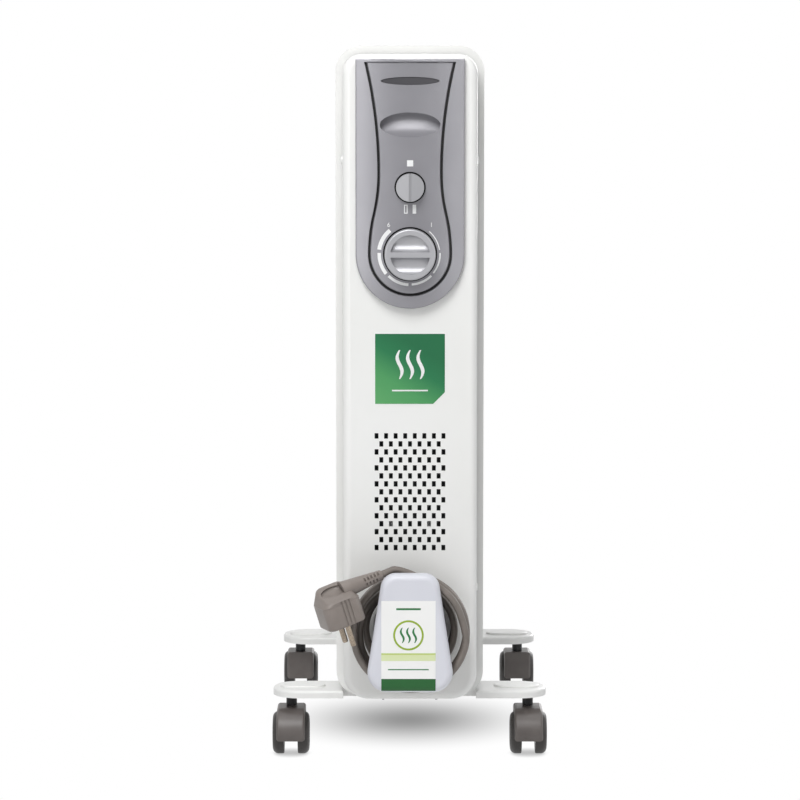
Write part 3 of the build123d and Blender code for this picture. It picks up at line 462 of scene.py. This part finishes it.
@dataclass
class MainsLead:
    """The wound cord and its plug, at the route that the CAD frame gives them."""

    diameter: float = 6.2
    length: float = 1505.0
    pitch: float = 7.3
    stand_off: float = 1.2
    inner_radius: float = 37.6
    outer_radius: float = 47.6
    inner_turns: float = 2.5
    climb_turns: float = 0.5
    outer_turns: float = 2.25
    shoulder_turn: float = 1 / 8
    shoulder_rise: float = 2.6
    lead_in: float = 2.5
    plug_reach: float = 24.0
    plug_rise: float = 3.6
    plug_forward: float = 3.2
    plug_tilt: float = 18.0
    plug_swing: float = 22.0
    points_per_turn: int = 24
    wrap: Vector = field(default_factory=Vector)

    def __post_init__(self) -> None:
        """Finds the winding's axis at the cover's front."""
        low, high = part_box("cord_bobbin")
        self.wrap = Vector(((low.x + high.x) / 2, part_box("front_cover")[0].y, (low.z + high.z) / 2)) / MM

    def turns(self) -> float:
        """Gives the number of turns in the whole winding."""
        return self.inner_turns + self.climb_turns + self.outer_turns

    def winding(self, turn: float, spread: float = 1.0) -> Vector:
        """Gives the cord's centre after a number of turns.

        Args:
            turn: turns from the bottom of the winding.
            spread: how far the point stands out, as a share of the winding's radius.

        Returns:
            The point, in millimetres.
        """
        climb = min(max((turn - self.inner_turns) / self.climb_turns, 0), 1)
        radius = (self.inner_radius + climb * (self.outer_radius - self.inner_radius)) * spread
        outer = max(turn - self.inner_turns - self.climb_turns, 0)
        layers = min(turn, self.inner_turns) + climb * self.climb_turns / 2 + outer
        angle = math.tau * turn - math.pi / 2
        rear = self.wrap.y - self.stand_off - self.diameter / 2
        height = self.wrap.z + radius * math.sin(angle)
        return Vector((radius * math.cos(angle), rear - self.pitch * layers, height))

    def plug_direction(self) -> Vector:
        """Gives the direction in which the cord enters the plug."""
        tilt, swing = math.radians(self.plug_tilt), math.radians(self.plug_swing)
        return Vector((-math.cos(tilt) * math.cos(swing), -math.cos(tilt) * math.sin(swing), -math.sin(tilt)))

    def plug_point(self) -> Vector:
        """Gives the point where the cord enters the plug's strain relief, in millimetres."""
        end = self.winding(self.turns())
        height = self.wrap.z + self.outer_radius + self.plug_rise
        return Vector((-self.plug_reach, end.y - self.plug_forward, height))

    def route(self) -> list[Vector]:
        """Gives the control points of the cord's line, from the gland to the plug, in millimetres."""
        turns = self.turns()
        spread = 1 / math.cos(math.pi / self.points_per_turn)
        start = self.winding(0)
        points = [start, start + Vector((self.diameter, 0, 0))]
        for step in range(2, round(turns * self.points_per_turn) + 1):
            points.append(self.winding(step / self.points_per_turn, spread))
        outwards = Vector((1, 0, 1)).normalized()
        shoulder = self.winding(turns + self.shoulder_turn, spread) + outwards * self.shoulder_rise
        plug, along = self.plug_point(), self.plug_direction()
        points += [shoulder, plug - along * self.lead_in * self.diameter, plug - along * self.diameter, plug]
        return points

    def build_cord(self) -> Object:
        """Makes the cord as one smooth line with a round section.

        Returns:
            The cord.
        """
        curve = bpy.data.curves.new("mains_lead", "CURVE")
        curve.dimensions = "3D"
        spline = curve.splines.new("NURBS")
        points = self.route()
        spline.points.add(len(points) - 1)
        for control, place in zip(spline.points, points):
            control.co = (*(place * MM), 1.0)
        spline.order_u = 3
        spline.use_endpoint_u = True
        spline.resolution_u = 6
        curve.bevel_depth = self.diameter / 2 * MM
        curve.bevel_resolution = 6
        curve.use_fill_caps = True
        cord = bpy.data.objects.new("mains_lead", curve)
        bpy.context.scene.collection.objects.link(cord)
        return cord


@dataclass
class Plug:
    """The angled plug: a base with two pins, a sloping finger grip on it and a slotted strain relief."""

    lead: MainsLead
    relief_length: float = 28.0
    relief_tip: float = 4.2
    relief_root: float = 8.0
    relief_sink: float = 10.0
    base_length: float = 34.0
    base_width: float = 32.0
    base_height: float = 20.5
    grip_height: float = 13.0
    grip_front_height: float = 2.5
    grip_end_taper: float = 4.0
    grip_back_taper: float = 4.5
    drop: float = 6.0
    corner: float = 7.0
    edge: float = 1.6
    slot_rows: tuple[tuple[float, float, int], ...] = ((3.3, 4.0, 5), (-2.3, 6.6, 4))
    slot_pitch: float = 3.3
    slot_width: float = 1.7
    slot_height: float = 4.0
    slot_depth: float = 2.6
    groove_width: float = 1.3
    groove_depth: float = 0.9
    groove_spacing: float = 3.4
    groove_count: int = 3
    groove_place: float = 0.43
    groove_overrun: float = 1.2
    recess: Triple = (12.0, 8.0, 2.6)

    def place(self) -> Matrix:
        """Gives the matrix from the plug's own axes, along the cord and up from the pins, to the heater's."""
        along = self.lead.plug_direction()
        side = Vector((0, 0, 1)).cross(along).normalized()
        up = along.cross(side)
        turn = Matrix((along, side, up)).transposed().to_4x4()
        return Matrix.Translation(self.lead.plug_point() * MM) @ turn

    def box_tool(self, middle: Vector, size: Vector) -> Object:
        """Makes a box to cut with, in millimetres of the plug's own axes."""
        deselect()
        bpy.ops.mesh.primitive_cube_add(size=1, location=middle * MM)
        tool = bpy.context.object
        tool.scale = size * MM
        bake_place(tool)
        return tool

    def relief(self) -> Object:
        """Makes the tapered strain relief, along +X.

        Returns:
            The strain relief without its slots.
        """
        deselect()
        length = self.relief_length + self.relief_sink
        bpy.ops.mesh.primitive_cone_add(
            vertices=ROUND_SEGMENTS, radius1=self.relief_tip * MM, radius2=self.relief_root * MM,
            depth=length * MM, location=(length / 2 * MM, 0, 0), rotation=(0, math.pi / 2, 0))
        relief = bpy.context.object
        bake_place(relief)
        roll_edges(relief, self.edge / 2 * MM, EDGE_SEGMENTS, lambda a, b: max(a.x, b.x) < self.edge * MM)
        return relief

    def grip_slope(self) -> float:
        """Gives the angle by which the grip's top falls towards the front."""
        return math.atan((self.grip_height - self.grip_front_height) / self.base_width)

    def grip(self) -> Object:
        """Makes the finger grip: a wedge on the base, highest at the back, with tapered ends."""
        start, half = self.relief_length, self.base_width / 2
        middle = start + self.base_length / 2
        grip = rounded_block("grip_block", Vector((start, -half, -self.drop - self.edge)) * MM,
                             Vector((start + self.base_length, half, self.grip_height - self.drop)) * MM,
                             self.corner * MM, self.edge * MM)
        for vertex in grip.data.vertices:
            x, y, z = vertex.co / MM
            share = max((z + self.drop) / self.grip_height, 0)
            rise = (self.grip_height - self.grip_front_height) * (half - y) / (2 * half)
            height = self.grip_front_height + rise
            x -= math.copysign(self.grip_end_taper * share, x - middle)
            y += self.grip_back_taper * share if y < 0 else 0
            vertex.co = Vector((x, y, min(z, -self.drop + share * height))) * MM
        return grip

    def slots(self) -> Object:
        """Makes the tool that cuts the strain relief's two rows of slots on both sides."""
        slots = []
        size = Vector((self.slot_width, 2 * self.slot_depth, self.slot_height))
        for side in (-1, 1):
            for height, start, count in self.slot_rows:
                for number in range(count):
                    x = start + number * self.slot_pitch
                    radius = self.relief_tip + (self.relief_root - self.relief_tip) * x / self.relief_length
                    slots.append(self.box_tool(Vector((x, side * radius, height)), size))
        return joined("slot_tool", slots)

    def grooves(self) -> Object:
        """Makes the tool that cuts the upright grooves into both long sides of the base."""
        grooves = []
        size = Vector((self.groove_width, 2 * self.groove_depth, self.base_height * self.groove_overrun))
        for side in (-1, 1):
            for number in range(self.groove_count):
                offset = (number - (self.groove_count - 1) / 2) * self.groove_spacing
                middle = Vector((self.relief_length + self.base_length * self.groove_place + offset,
                                 side * self.base_width / 2, -self.drop - self.base_height / 2))
                grooves.append(self.box_tool(middle, size))
        return joined("groove_tool", grooves)

    def finger_recess(self) -> Object:
        """Makes the tool that cuts the oval recess into the grip's sloping top."""
        deselect()
        top = self.grip_front_height + (self.grip_height - self.grip_front_height) / 2 - self.drop
        bpy.ops.mesh.primitive_uv_sphere_add(
            segments=ROUND_SEGMENTS, ring_count=ROUND_SEGMENTS // 2, radius=1,
            rotation=(-self.grip_slope(), 0, 0),
            location=Vector((self.relief_length + self.base_length / 2, 0, top)) * MM)
        recess = bpy.context.object
        recess.scale = Vector(self.recess) * MM
        bake_place(recess)
        return recess

    def build(self) -> Object:
        """Makes the plug and sets it on the cord's end.

        Returns:
            The plug.
        """
        start, half = self.relief_length, self.base_width / 2
        plug = rounded_block("plug_moulding", Vector((start, -half, -self.drop - self.base_height)) * MM,
                             Vector((start + self.base_length, half, -self.drop)) * MM, self.corner * MM,
                             self.edge * MM)
        cut(plug, self.grip(), "UNION")
        cut(plug, self.relief(), "UNION")
        for tool in (self.slots(), self.grooves(), self.finger_recess()):
            cut(plug, tool)
        plug.data.transform(self.place())
        plug.data.update()
        smooth(plug)
        return plug


@dataclass
class FrontPrint:
    """Thin print that faces the front: flat shapes gathered into one piece at one depth."""

    name: str
    front: float
    thickness: float = 0.1
    crown: float = 0.0
    sector_step: float = 3.0
    sector_least: int = 4
    wave_tip: float = 0.35
    wave_steps: int = 36
    shapes: list[Object] = field(default_factory=list)

    def grid(self, columns: int, place: Callable[[float, float], Pair]) -> None:
        """Adds a strip whose points are placed by a function.

        Args:
            columns: how many steps the strip has along its length.
            place: gives x and z, in millimetres, for the shares along and across the strip.
        """
        deselect()
        bpy.ops.mesh.primitive_grid_add(x_subdivisions=columns, y_subdivisions=1, size=1)
        strip = bpy.context.object
        for vertex in strip.data.vertices:
            x, z = place(vertex.co.x + 0.5, vertex.co.y + 0.5)
            vertex.co = Vector((x, self.front, z)) * MM
        self.shapes.append(strip)

    def sector(self, centre: Vector, inner: float, outer: float, start: float, end: float) -> None:
        """Adds a piece of a ring.

        Args:
            centre: the ring's centre, in millimetres.
            inner: its inner radius.
            outer: its outer radius.
            start: the angle at which it starts, clockwise from the top, in degrees.
            end: the angle at which it ends.
        """
        def place(along: float, across: float) -> Pair:
            """Gives a point of the ring."""
            angle = math.radians(start + along * (end - start))
            radius = inner + across * (outer - inner)
            return centre.x + radius * math.sin(angle), centre.z + radius * math.cos(angle)
        self.grid(max(round(abs(end - start) / self.sector_step), self.sector_least), place)

    def wave(self, x: float, low: float, high: float, width: float, swing: float) -> None:
        """Adds an upright wavy stroke with thin ends, as in a common sign for heat.

        Args:
            x: the middle of the stroke.
            low: the height of its lower end.
            high: the height of its upper end.
            width: its greatest width.
            swing: how far it swings to each side.
        """
        def place(along: float, across: float) -> Pair:
            """Gives a point of the stroke."""
            half = width / 2 * (self.wave_tip + (1 - self.wave_tip) * math.sin(math.pi * along))
            middle = x + swing * math.sin(math.tau * along)
            return middle + (2 * across - 1) * half, low + along * (high - low)
        self.grid(self.wave_steps, place)

    def plate(self, x: float, z: float, width: float, height: float) -> None:
        """Adds a rectangle."""
        self.grid(1, lambda along, across: (x + (along - 0.5) * width, z + (across - 0.5) * height))

    def number(self, text: str, x: float, z: float, size: float) -> None:
        """Adds a plain number."""
        deselect()
        bpy.ops.object.text_add(location=Vector((x, self.front, z)) * MM, rotation=(math.pi / 2, 0, 0))
        number = bpy.context.object
        number.data.body = text
        number.data.size = size * MM
        number.data.align_x = "CENTER"
        bpy.ops.object.convert(target="MESH")
        bake_place(number)
        self.shapes.append(number)

    def build(self) -> Object:
        """Joins the shapes into one thin piece, which follows the crown of the surface under it.

        Returns:
            The print.
        """
        piece = joined(self.name, self.shapes)
        if self.crown:
            for vertex in piece.data.vertices:
                vertex.co.y += (self.crown - math.sqrt(self.crown ** 2 - (vertex.co.x / MM) ** 2)) * MM
        apply_modifier(piece, "SOLIDIFY", thickness=self.thickness * MM, offset=0.0)
        return piece


@dataclass
class ControlMarks:
    """The panel's white print, with plain numbers at the dial's scale, and a dark ring of painted shade
    behind each knob.
    """

    crown: float = 300.0
    lift: float = 0.12
    scale_radius: float = 24.6
    scale_start: float = 40.0
    scale_end: float = 320.0
    scale_gap: float = 6.0
    segments: int = 6
    thinnest: float = 0.9
    thickest: float = 3.4
    number_size: float = 5.4
    number_x: float = 18.0
    number_rise: float = 23.0
    square: float = 5.2
    square_rise: float = 20.2
    bar: Pair = (3.0, 7.6)
    bar_spread: float = 3.6
    bar_drop: float = 18.3
    frame_width: float = 0.8
    # The dark ring behind each knob is painted shade for the pocket's gap.
    washer_gap: float = 0.45
    washer_width: float = 1.3
    washer_inset: float = 4.0
    washer_thickness: float = 0.2

    def centre(self, node: str) -> Vector:
        """Gives the middle of a knob, in millimetres."""
        low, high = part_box(node)
        return (low + high) / 2 / MM

    def build_print(self) -> Object:
        """Makes all the print as one thin piece.

        Returns:
            The print.
        """
        dial, switch = self.centre("thermostat_knob"), self.centre("switch_knob")
        marks = FrontPrint("panel_print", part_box("panel_inlay")[0].y / MM - self.lift, crown=self.crown)
        step = (self.scale_end - self.scale_start + self.scale_gap) / self.segments
        for number in range(self.segments):
            start = self.scale_start + number * step
            width = self.thinnest + (self.thickest - self.thinnest) * number / (self.segments - 1)
            end = start + step - self.scale_gap
            marks.sector(dial, self.scale_radius, self.scale_radius + width, start, end)
        marks.number("1", dial.x + self.number_x, dial.z + self.number_rise, self.number_size)
        marks.number(str(self.segments), dial.x - self.number_x, dial.z + self.number_rise, self.number_size)
        marks.plate(switch.x, switch.z + self.square_rise, self.square, self.square)
        width, height = self.bar
        z = switch.z - self.bar_drop
        marks.plate(switch.x + self.bar_spread, z, width, height)
        for side in (-1, 1):
            x = switch.x - self.bar_spread + side * (width - self.frame_width) / 2
            marks.plate(x, z, self.frame_width, height)
            edge_z = z + side * (height - self.frame_width) / 2
            marks.plate(switch.x - self.bar_spread, edge_z, width - 2 * self.frame_width, self.frame_width)
        return marks.build()

    def build_washer(self, node: str) -> Object:
        """Makes the dark ring of painted shade in the pocket behind a knob.

        Args:
            node: the knob.

        Returns:
            The ring.
        """
        low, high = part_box(node)
        radius = (high.x - low.x) / 2 / MM
        washer = FrontPrint(node.replace("knob", "washer"), high.y / MM + self.washer_gap,
                            self.washer_thickness)
        washer.sector(self.centre(node), radius - self.washer_inset, radius + self.washer_width, 0, 360)
        return washer.build()


@dataclass
class Labels:
    """The two paper labels, green on the cover and white on the cord cap, both with a plain print."""

    cover_half: float = 30.5
    cover_low: float = 314.5
    cover_high: float = 376.0
    cut_corner: float = 10.5
    border: float = 0.9
    paper: float = 0.12
    cap_half: float = 22.8
    cap_x: float = -1.4
    cap_top_drop: float = 22.4
    cap_bottom_rise: float = 1.9
    cap_edge: float = 6.0
    rows: int = 40
    cover_glue: float = 0.05
    cap_glue: float = 0.1
    print_lift: float = 0.06
    sign_lift: float = 0.12
    inset_share: float = 0.6
    sign_spacing: float = 5.2
    sign_swing: float = 0.6
    cover_stroke: float = 3.4
    cover_sign: Pair = (0.36, 0.76)
    cover_line_place: float = 0.2
    cover_line: float = 1.2
    cover_tones: tuple[tuple[float, str], ...] = (
        (0.0, "#58A262"), (0.35, "#469558"), (0.62, "#127143"), (0.85, "#03643A"))
    cover_tone_end: float = 0.2
    cap_bands: tuple[tuple[float, str], ...] = (
        (0.0, "#0E5A22"), (0.135, "#F6F6F4"), (0.335, "#DCE6B4"), (0.4, "#BFD07A"), (0.42, "#F6F6F4"))
    ring_place: float = 0.62
    ring: Pair = (11.2, 12.8)
    cap_stroke: float = 2.0
    cap_sign_half: float = 6.5
    cap_lines: tuple[Triple, ...] = ((0.24, 1.5, 0.9), (0.91, 0.9, 1.6))

    def cover_sheet(self, name: str, inset: float, lift: float) -> Object:
        """Makes the cover's label: a square with one cut corner.

        Args:
            name: the piece's name.
            inset: how far its outline is drawn in.
            lift: how far it stands off the cover.

        Returns:
            The label.
        """
        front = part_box("front_cover")[0].y - lift * MM
        deselect()
        bpy.ops.mesh.primitive_plane_add(size=1, rotation=(math.pi / 2, 0, 0))
        sheet = bpy.context.object
        sheet.name = name
        half = (self.cover_half - inset) * MM
        middle = (self.cover_low + self.cover_high) / 2 * MM
        tall = ((self.cover_high - self.cover_low) / 2 - inset) * MM
        sheet.scale = (2 * half, 2 * tall, 1)
        sheet.location = (0, front, middle)
        bake_place(sheet)
        focus(sheet)
        bpy.ops.object.mode_set(mode="EDIT")
        bpy.ops.mesh.select_mode(type="VERT")
        bpy.ops.mesh.select_all(action="DESELECT")
        bpy.ops.object.mode_set(mode="OBJECT")
        for vertex in sheet.data.vertices:
            vertex.select = vertex.co.x > 0 and vertex.co.z < middle
        bpy.ops.object.mode_set(mode="EDIT")
        corner = (self.cut_corner - inset * self.inset_share) * MM
        bpy.ops.mesh.bevel(offset=corner, segments=1, affect="VERTICES")
        bpy.ops.object.mode_set(mode="OBJECT")
        apply_modifier(sheet, "SOLIDIFY", thickness=self.paper * MM, offset=0.0)
        return sheet

    def heat_sign(self, print_piece: FrontPrint, x: float, low: float, high: float, width: float) -> None:
        """Draws three wavy strokes side by side.

        Args:
            print_piece: the print that takes them.
            x: the middle stroke's place.
            low: the height of their lower ends.
            high: the height of their upper ends.
            width: a stroke's greatest width.
        """
        for number in (-1, 0, 1):
            middle = x + number * self.sign_spacing * width / 2
            print_piece.wave(middle, low, high, width, width * self.sign_swing)

    def build_cover_label(self) -> list[tuple[Object, Finish]]:
        """Makes the green label: a white sheet, a green print on it and a white sign for heat.

        Returns:
            The pieces with their finishes.
        """
        half = self.cover_half * MM
        low, high = self.cover_low * MM, self.cover_high * MM
        white = Finish("white_label_paper", "#F4F4F2", "#EEEEEC", 0.42, grain_mm=0.8, relief_mm=0.003)
        green = PrintedPaper("green_label_print", "#0B6B40", "#0B6B40", 0.4, relief_mm=0.002,
                             start=(-half, 0, low), end=(half * self.cover_tone_end, 0, high),
                             stops=self.cover_tones, stepped=False)
        sheet = self.cover_sheet("cover_label", 0, self.paper / 2 + self.cover_glue)
        ink = self.cover_sheet("cover_label_print", self.border, self.paper * 1.5 + self.print_lift)
        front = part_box("front_cover")[0].y / MM
        sign = FrontPrint("cover_label_sign", front - 2 * self.paper - self.sign_lift)
        tall = self.cover_high - self.cover_low
        sign_low, sign_high = (self.cover_low + share * tall for share in self.cover_sign)
        self.heat_sign(sign, 0, sign_low, sign_high, self.cover_stroke)
        sign.plate(0, self.cover_low + self.cover_line_place * tall, self.cover_half, self.cover_line)
        return [(sheet, white), (ink, green), (sign.build(), Look.INK.value)]

    def cap_depth(self, height: float, low: float) -> float:
        """Gives how far the cap's rolled lower edge falls back at a height.

        Args:
            height: the height of a point of the label, in millimetres.
            low: the height of the cap's lowest point.

        Returns:
            The fall, in millimetres.
        """
        inside = self.cap_edge - (height - low)
        if inside <= 0:
            return 0.0
        return self.cap_edge - math.sqrt(max(self.cap_edge ** 2 - inside ** 2, 0))

    def build_cap_label(self) -> list[tuple[Object, Finish]]:
        """Makes the cap's white label with plain bands, laid over the cap's rolled edge, and its sign.

        Returns:
            The pieces with their finishes.
        """
        low, high = (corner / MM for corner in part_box("cord_cap"))
        top, bottom = high.z - self.cap_top_drop, low.z + self.cap_bottom_rise
        deselect()
        bpy.ops.mesh.primitive_grid_add(x_subdivisions=4, y_subdivisions=self.rows, size=1)
        label = bpy.context.object
        label.name = "cap_label"
        for vertex in label.data.vertices:
            height = bottom + (vertex.co.y + 0.5) * (top - bottom)
            depth = low.y - self.cap_glue - self.paper / 2 + self.cap_depth(height, low.z)
            vertex.co = Vector((self.cap_x + 2 * vertex.co.x * self.cap_half, depth, height)) * MM
        apply_modifier(label, "SOLIDIFY", thickness=self.paper * MM, offset=0.0)
        paper = PrintedPaper("banded_label_paper", "#F6F6F4", "#EFEFEC", 0.4, relief_mm=0.003,
                             start=(0, 0, bottom * MM), end=(0, 0, top * MM), stops=self.cap_bands)
        front = low.y - self.cap_glue - self.paper - self.print_lift
        tall = top - bottom
        middle = Vector((self.cap_x, 0, bottom + self.ring_place * tall))
        ring = FrontPrint("cap_label_ring", front)
        ring.sector(middle, *self.ring, 0, 360)
        sign = FrontPrint("cap_label_sign", front)
        self.heat_sign(sign, self.cap_x, middle.z - self.cap_sign_half, middle.z + self.cap_sign_half,
                       self.cap_stroke)
        for place, width, thickness in self.cap_lines:
            sign.plate(self.cap_x, bottom + place * tall, width * self.cap_half, thickness)
        return [(label, paper), (ring.build(), Look.LIME_INK.value), (sign.build(), Look.GREEN_INK.value)]


@dataclass
class Studio:
    """A pale floor, a white surround, soft lamps and the camera at the photograph's viewing angle."""

    focal_pixels: float = 3335.0
    picture_pixels: float = 800.0
    sensor: float = 36.0
    camera_x: float = -8.49
    camera_back: float = 2816.63
    camera_z: float = 614.73
    camera_pitch: float = 6.0
    view_reach: float = 60.0
    floor_size: float = 14.0
    shadow_middle: Triple = (0.0, 0.045, 0.0)
    shadow_half: Triple = (0.137, 0.15, 1.0)
    shadow_depth: float = 0.3
    contact_reach: float = 0.05
    contact_depth: float = 0.45
    contact_full: float = 0.6
    contact_samples: int = 32
    world_light: float = 0.24
    flag_place: Triple = (-0.05, -4.3, 0.7)
    flag_size: Pair = (1.9, 2.2)
    aim: Triple = (0.0, -0.1, 0.38)
    lamps: tuple[tuple[str, Triple, Pair, float], ...] = (
        ("key_lamp", (-0.35, -1.15, 1.6), (0.9, 0.9), 19),
        ("left_strip", (-0.85, -2.5, 0.75), (0.35, 1.4), 8.5),
        ("right_strip", (0.78, -2.6, 0.75), (0.1, 1.5), 3.5),
        ("right_fill", (1.7, -0.2, 0.7), (0.9, 0.9), 3),
        ("top_lamp", (0.0, 0.0, 2.3), (1.2, 1.2), 7),
        ("back_lamp", (0.9, 2.0, 0.9), (1.2, 1.2), 16))

    def build_camera(self) -> None:
        """Places the camera in front of the cover."""
        data = bpy.data.cameras.new("view")
        data.sensor_width = self.sensor
        data.lens = self.sensor * self.focal_pixels / self.picture_pixels
        data.clip_end = self.view_reach
        camera = bpy.data.objects.new("view", data)
        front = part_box("front_cover")[0].y
        camera.location = (self.camera_x * MM, front - self.camera_back * MM, self.camera_z * MM)
        camera.rotation_euler = (math.radians(90 - self.camera_pitch), 0, 0)
        bpy.context.scene.collection.objects.link(camera)
        bpy.context.scene.camera = camera

    def seen_ray(self, tree: NodeTree) -> NodeSocket:
        """Gives 1 for rays that show the surround: from the camera, a mirror or glass."""
        path = add_node(tree, "LightPath")
        mirror = add_node(tree, "Math", {"operation": "MAXIMUM"}, {
            0: path.outputs["Is Camera Ray"], 1: path.outputs["Is Glossy Ray"]})
        seen = add_node(tree, "Math", {"operation": "MAXIMUM"}, {
            0: mirror.outputs["Value"], 1: path.outputs["Is Transmission Ray"]})
        return seen.outputs["Value"]

    def build_surround(self) -> None:
        """Makes the world: soft grey light on the object, and white where it is seen."""
        world = bpy.data.worlds.new("surround")
        bpy.context.scene.world = world
        world.use_nodes = True
        tree = world.node_tree
        tree.nodes.clear()
        light = add_node(tree, "Background", inputs={
            "Color": linear("#F4F6FA"), "Strength": self.world_light})
        white = add_node(tree, "Background", inputs={"Color": (1, 1, 1, 1), "Strength": 1.0})
        mix = add_node(tree, "MixShader", inputs={
            0: self.seen_ray(tree), 1: light.outputs["Background"], 2: white.outputs["Background"]})
        add_node(tree, "OutputWorld", inputs={"Surface": mix.outputs["Shader"]})

    def staged(self, piece: Object, name: str) -> NodeTree:
        """Makes a piece part of the studio, with a bare material of its own.

        Args:
            piece: the piece.
            name: the name of the piece and its material.

        Returns:
            The material's empty node tree.
        """
        piece.name = name
        material = bpy.data.materials.new(name)
        material.use_nodes = True
        material.node_tree.nodes.clear()
        piece.data.materials.append(material)
        return material.node_tree

    def floor_shade(self, tree: NodeTree) -> NodeSocket:
        """Gives how bright the floor looks: a soft oval shadow, darker where the casters touch.

        Args:
            tree: the floor's node tree.

        Returns:
            The brightness, from 0 to 1.
        """
        place = add_node(tree, "TexCoord")
        offset = add_node(tree, "VectorMath", {"operation": "SUBTRACT"}, {
            0: place.outputs["Object"], 1: self.shadow_middle})
        share = add_node(tree, "VectorMath", {"operation": "DIVIDE"}, {
            0: offset.outputs["Vector"], 1: self.shadow_half})
        away = add_node(tree, "VectorMath", {"operation": "LENGTH"}, {0: share.outputs["Vector"]})
        pool = add_node(tree, "MapRange", {"interpolation_type": "SMOOTHSTEP"}, {
            "Value": away.outputs["Value"], "To Min": self.shadow_depth})
        open_sky = add_node(tree, "AmbientOcclusion", {"samples": self.contact_samples}, {
            "Distance": self.contact_reach})
        contact = add_node(tree, "MapRange", inputs={
            "Value": open_sky.outputs["AO"], "From Max": self.contact_full, "To Min": self.contact_depth})
        shade = add_node(tree, "Math", {"operation": "MULTIPLY"}, {
            0: pool.outputs["Result"], 1: contact.outputs["Result"]})
        return shade.outputs["Value"]

    def build_floor(self) -> None:
        """Makes the floor: pale to the lamps, and white with a soft shadow where it is seen."""
        deselect()
        bpy.ops.mesh.primitive_plane_add(size=self.floor_size)
        tree = self.staged(bpy.context.object, "studio_floor")
        pale = add_node(tree, "BsdfDiffuse", inputs={"Color": linear("#E8E8E8")})
        white = add_node(tree, "Emission", inputs={"Strength": self.floor_shade(tree)})
        mix = add_node(tree, "MixShader", inputs={
            0: self.seen_ray(tree), 1: pale.outputs["BSDF"], 2: white.outputs["Emission"]})
        add_node(tree, "OutputMaterial", inputs={"Surface": mix.outputs["Shader"]})

    def build_flag(self) -> None:
        """Makes the dark card behind the camera, unseen itself, that gives the glossy panel contrast."""
        deselect()
        bpy.ops.mesh.primitive_plane_add(size=1, location=self.flag_place, rotation=(math.pi / 2, 0, 0))
        flag = bpy.context.object
        flag.scale = (*self.flag_size, 1)
        tree = self.staged(flag, "studio_flag")
        dark = add_node(tree, "BsdfDiffuse", inputs={"Color": linear("#3A3A3C")})
        clear = add_node(tree, "BsdfTransparent")
        path = add_node(tree, "LightPath")
        mix = add_node(tree, "MixShader", inputs={
            0: path.outputs["Is Camera Ray"], 1: dark.outputs["BSDF"], 2: clear.outputs["BSDF"]})
        add_node(tree, "OutputMaterial", inputs={"Surface": mix.outputs["Shader"]})

    def lamp(self, name: str, place: Triple, size: Pair,
             power: float) -> None:
        """Places a soft lamp that faces the middle of the object.

        Args:
            name: the lamp's name.
            place: where it stands, in metres.
            size: its width and height, in metres.
            power: its power, in watts.
        """
        data = bpy.data.lights.new(name, "AREA")
        data.shape = "RECTANGLE"
        data.size, data.size_y = size
        data.energy = power
        lamp = bpy.data.objects.new(name, data)
        lamp.location = place
        lamp.rotation_euler = (Vector(self.aim) - Vector(place)).to_track_quat("-Z", "Y").to_euler()
        bpy.context.scene.collection.objects.link(lamp)

    def build(self) -> None:
        """Sets up the whole studio."""
        bpy.context.scene.view_settings.view_transform = "Standard"
        self.build_camera()
        self.build_surround()
        self.build_floor()
        self.build_flag()
        for name, place, size, power in self.lamps:
            self.lamp(name, place, size, power)


def build_heater(nodes: dict[str, Object]) -> None:
    """Dresses the CAD nodes and builds the new pieces.

    Args:
        nodes: the CAD nodes by name.
    """
    Casting(nodes).dress()
    lead = MainsLead()
    cord = lead.build_cord()
    mounted(cord, "heater", Look.SHEATH.value)
    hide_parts("mains_cord")
    plug = Plug(lead).build()
    mounted(plug, "heater", Look.PLUG.value)
    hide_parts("plug")
    marks = ControlMarks()
    mounted(marks.build_print(), "heater", Look.INK.value)
    # Dark rings of painted shade behind the knobs.
    for knob in ("switch_knob", "thermostat_knob"):
        mounted(marks.build_washer(knob), "heater", Look.FELT.value)
    labels = Labels()
    for piece, finish in [*labels.build_cover_label(), *labels.build_cap_label()]:
        mounted(piece, "heater", finish)


def main() -> None:
    """Loads the frame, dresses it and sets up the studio."""
    logging.basicConfig(level=logging.INFO, format="%(name)s: %(message)s")
    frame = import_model()
    Studio().build()
    build_heater(frame["nodes"])


if __name__ == "__main__":
    main()
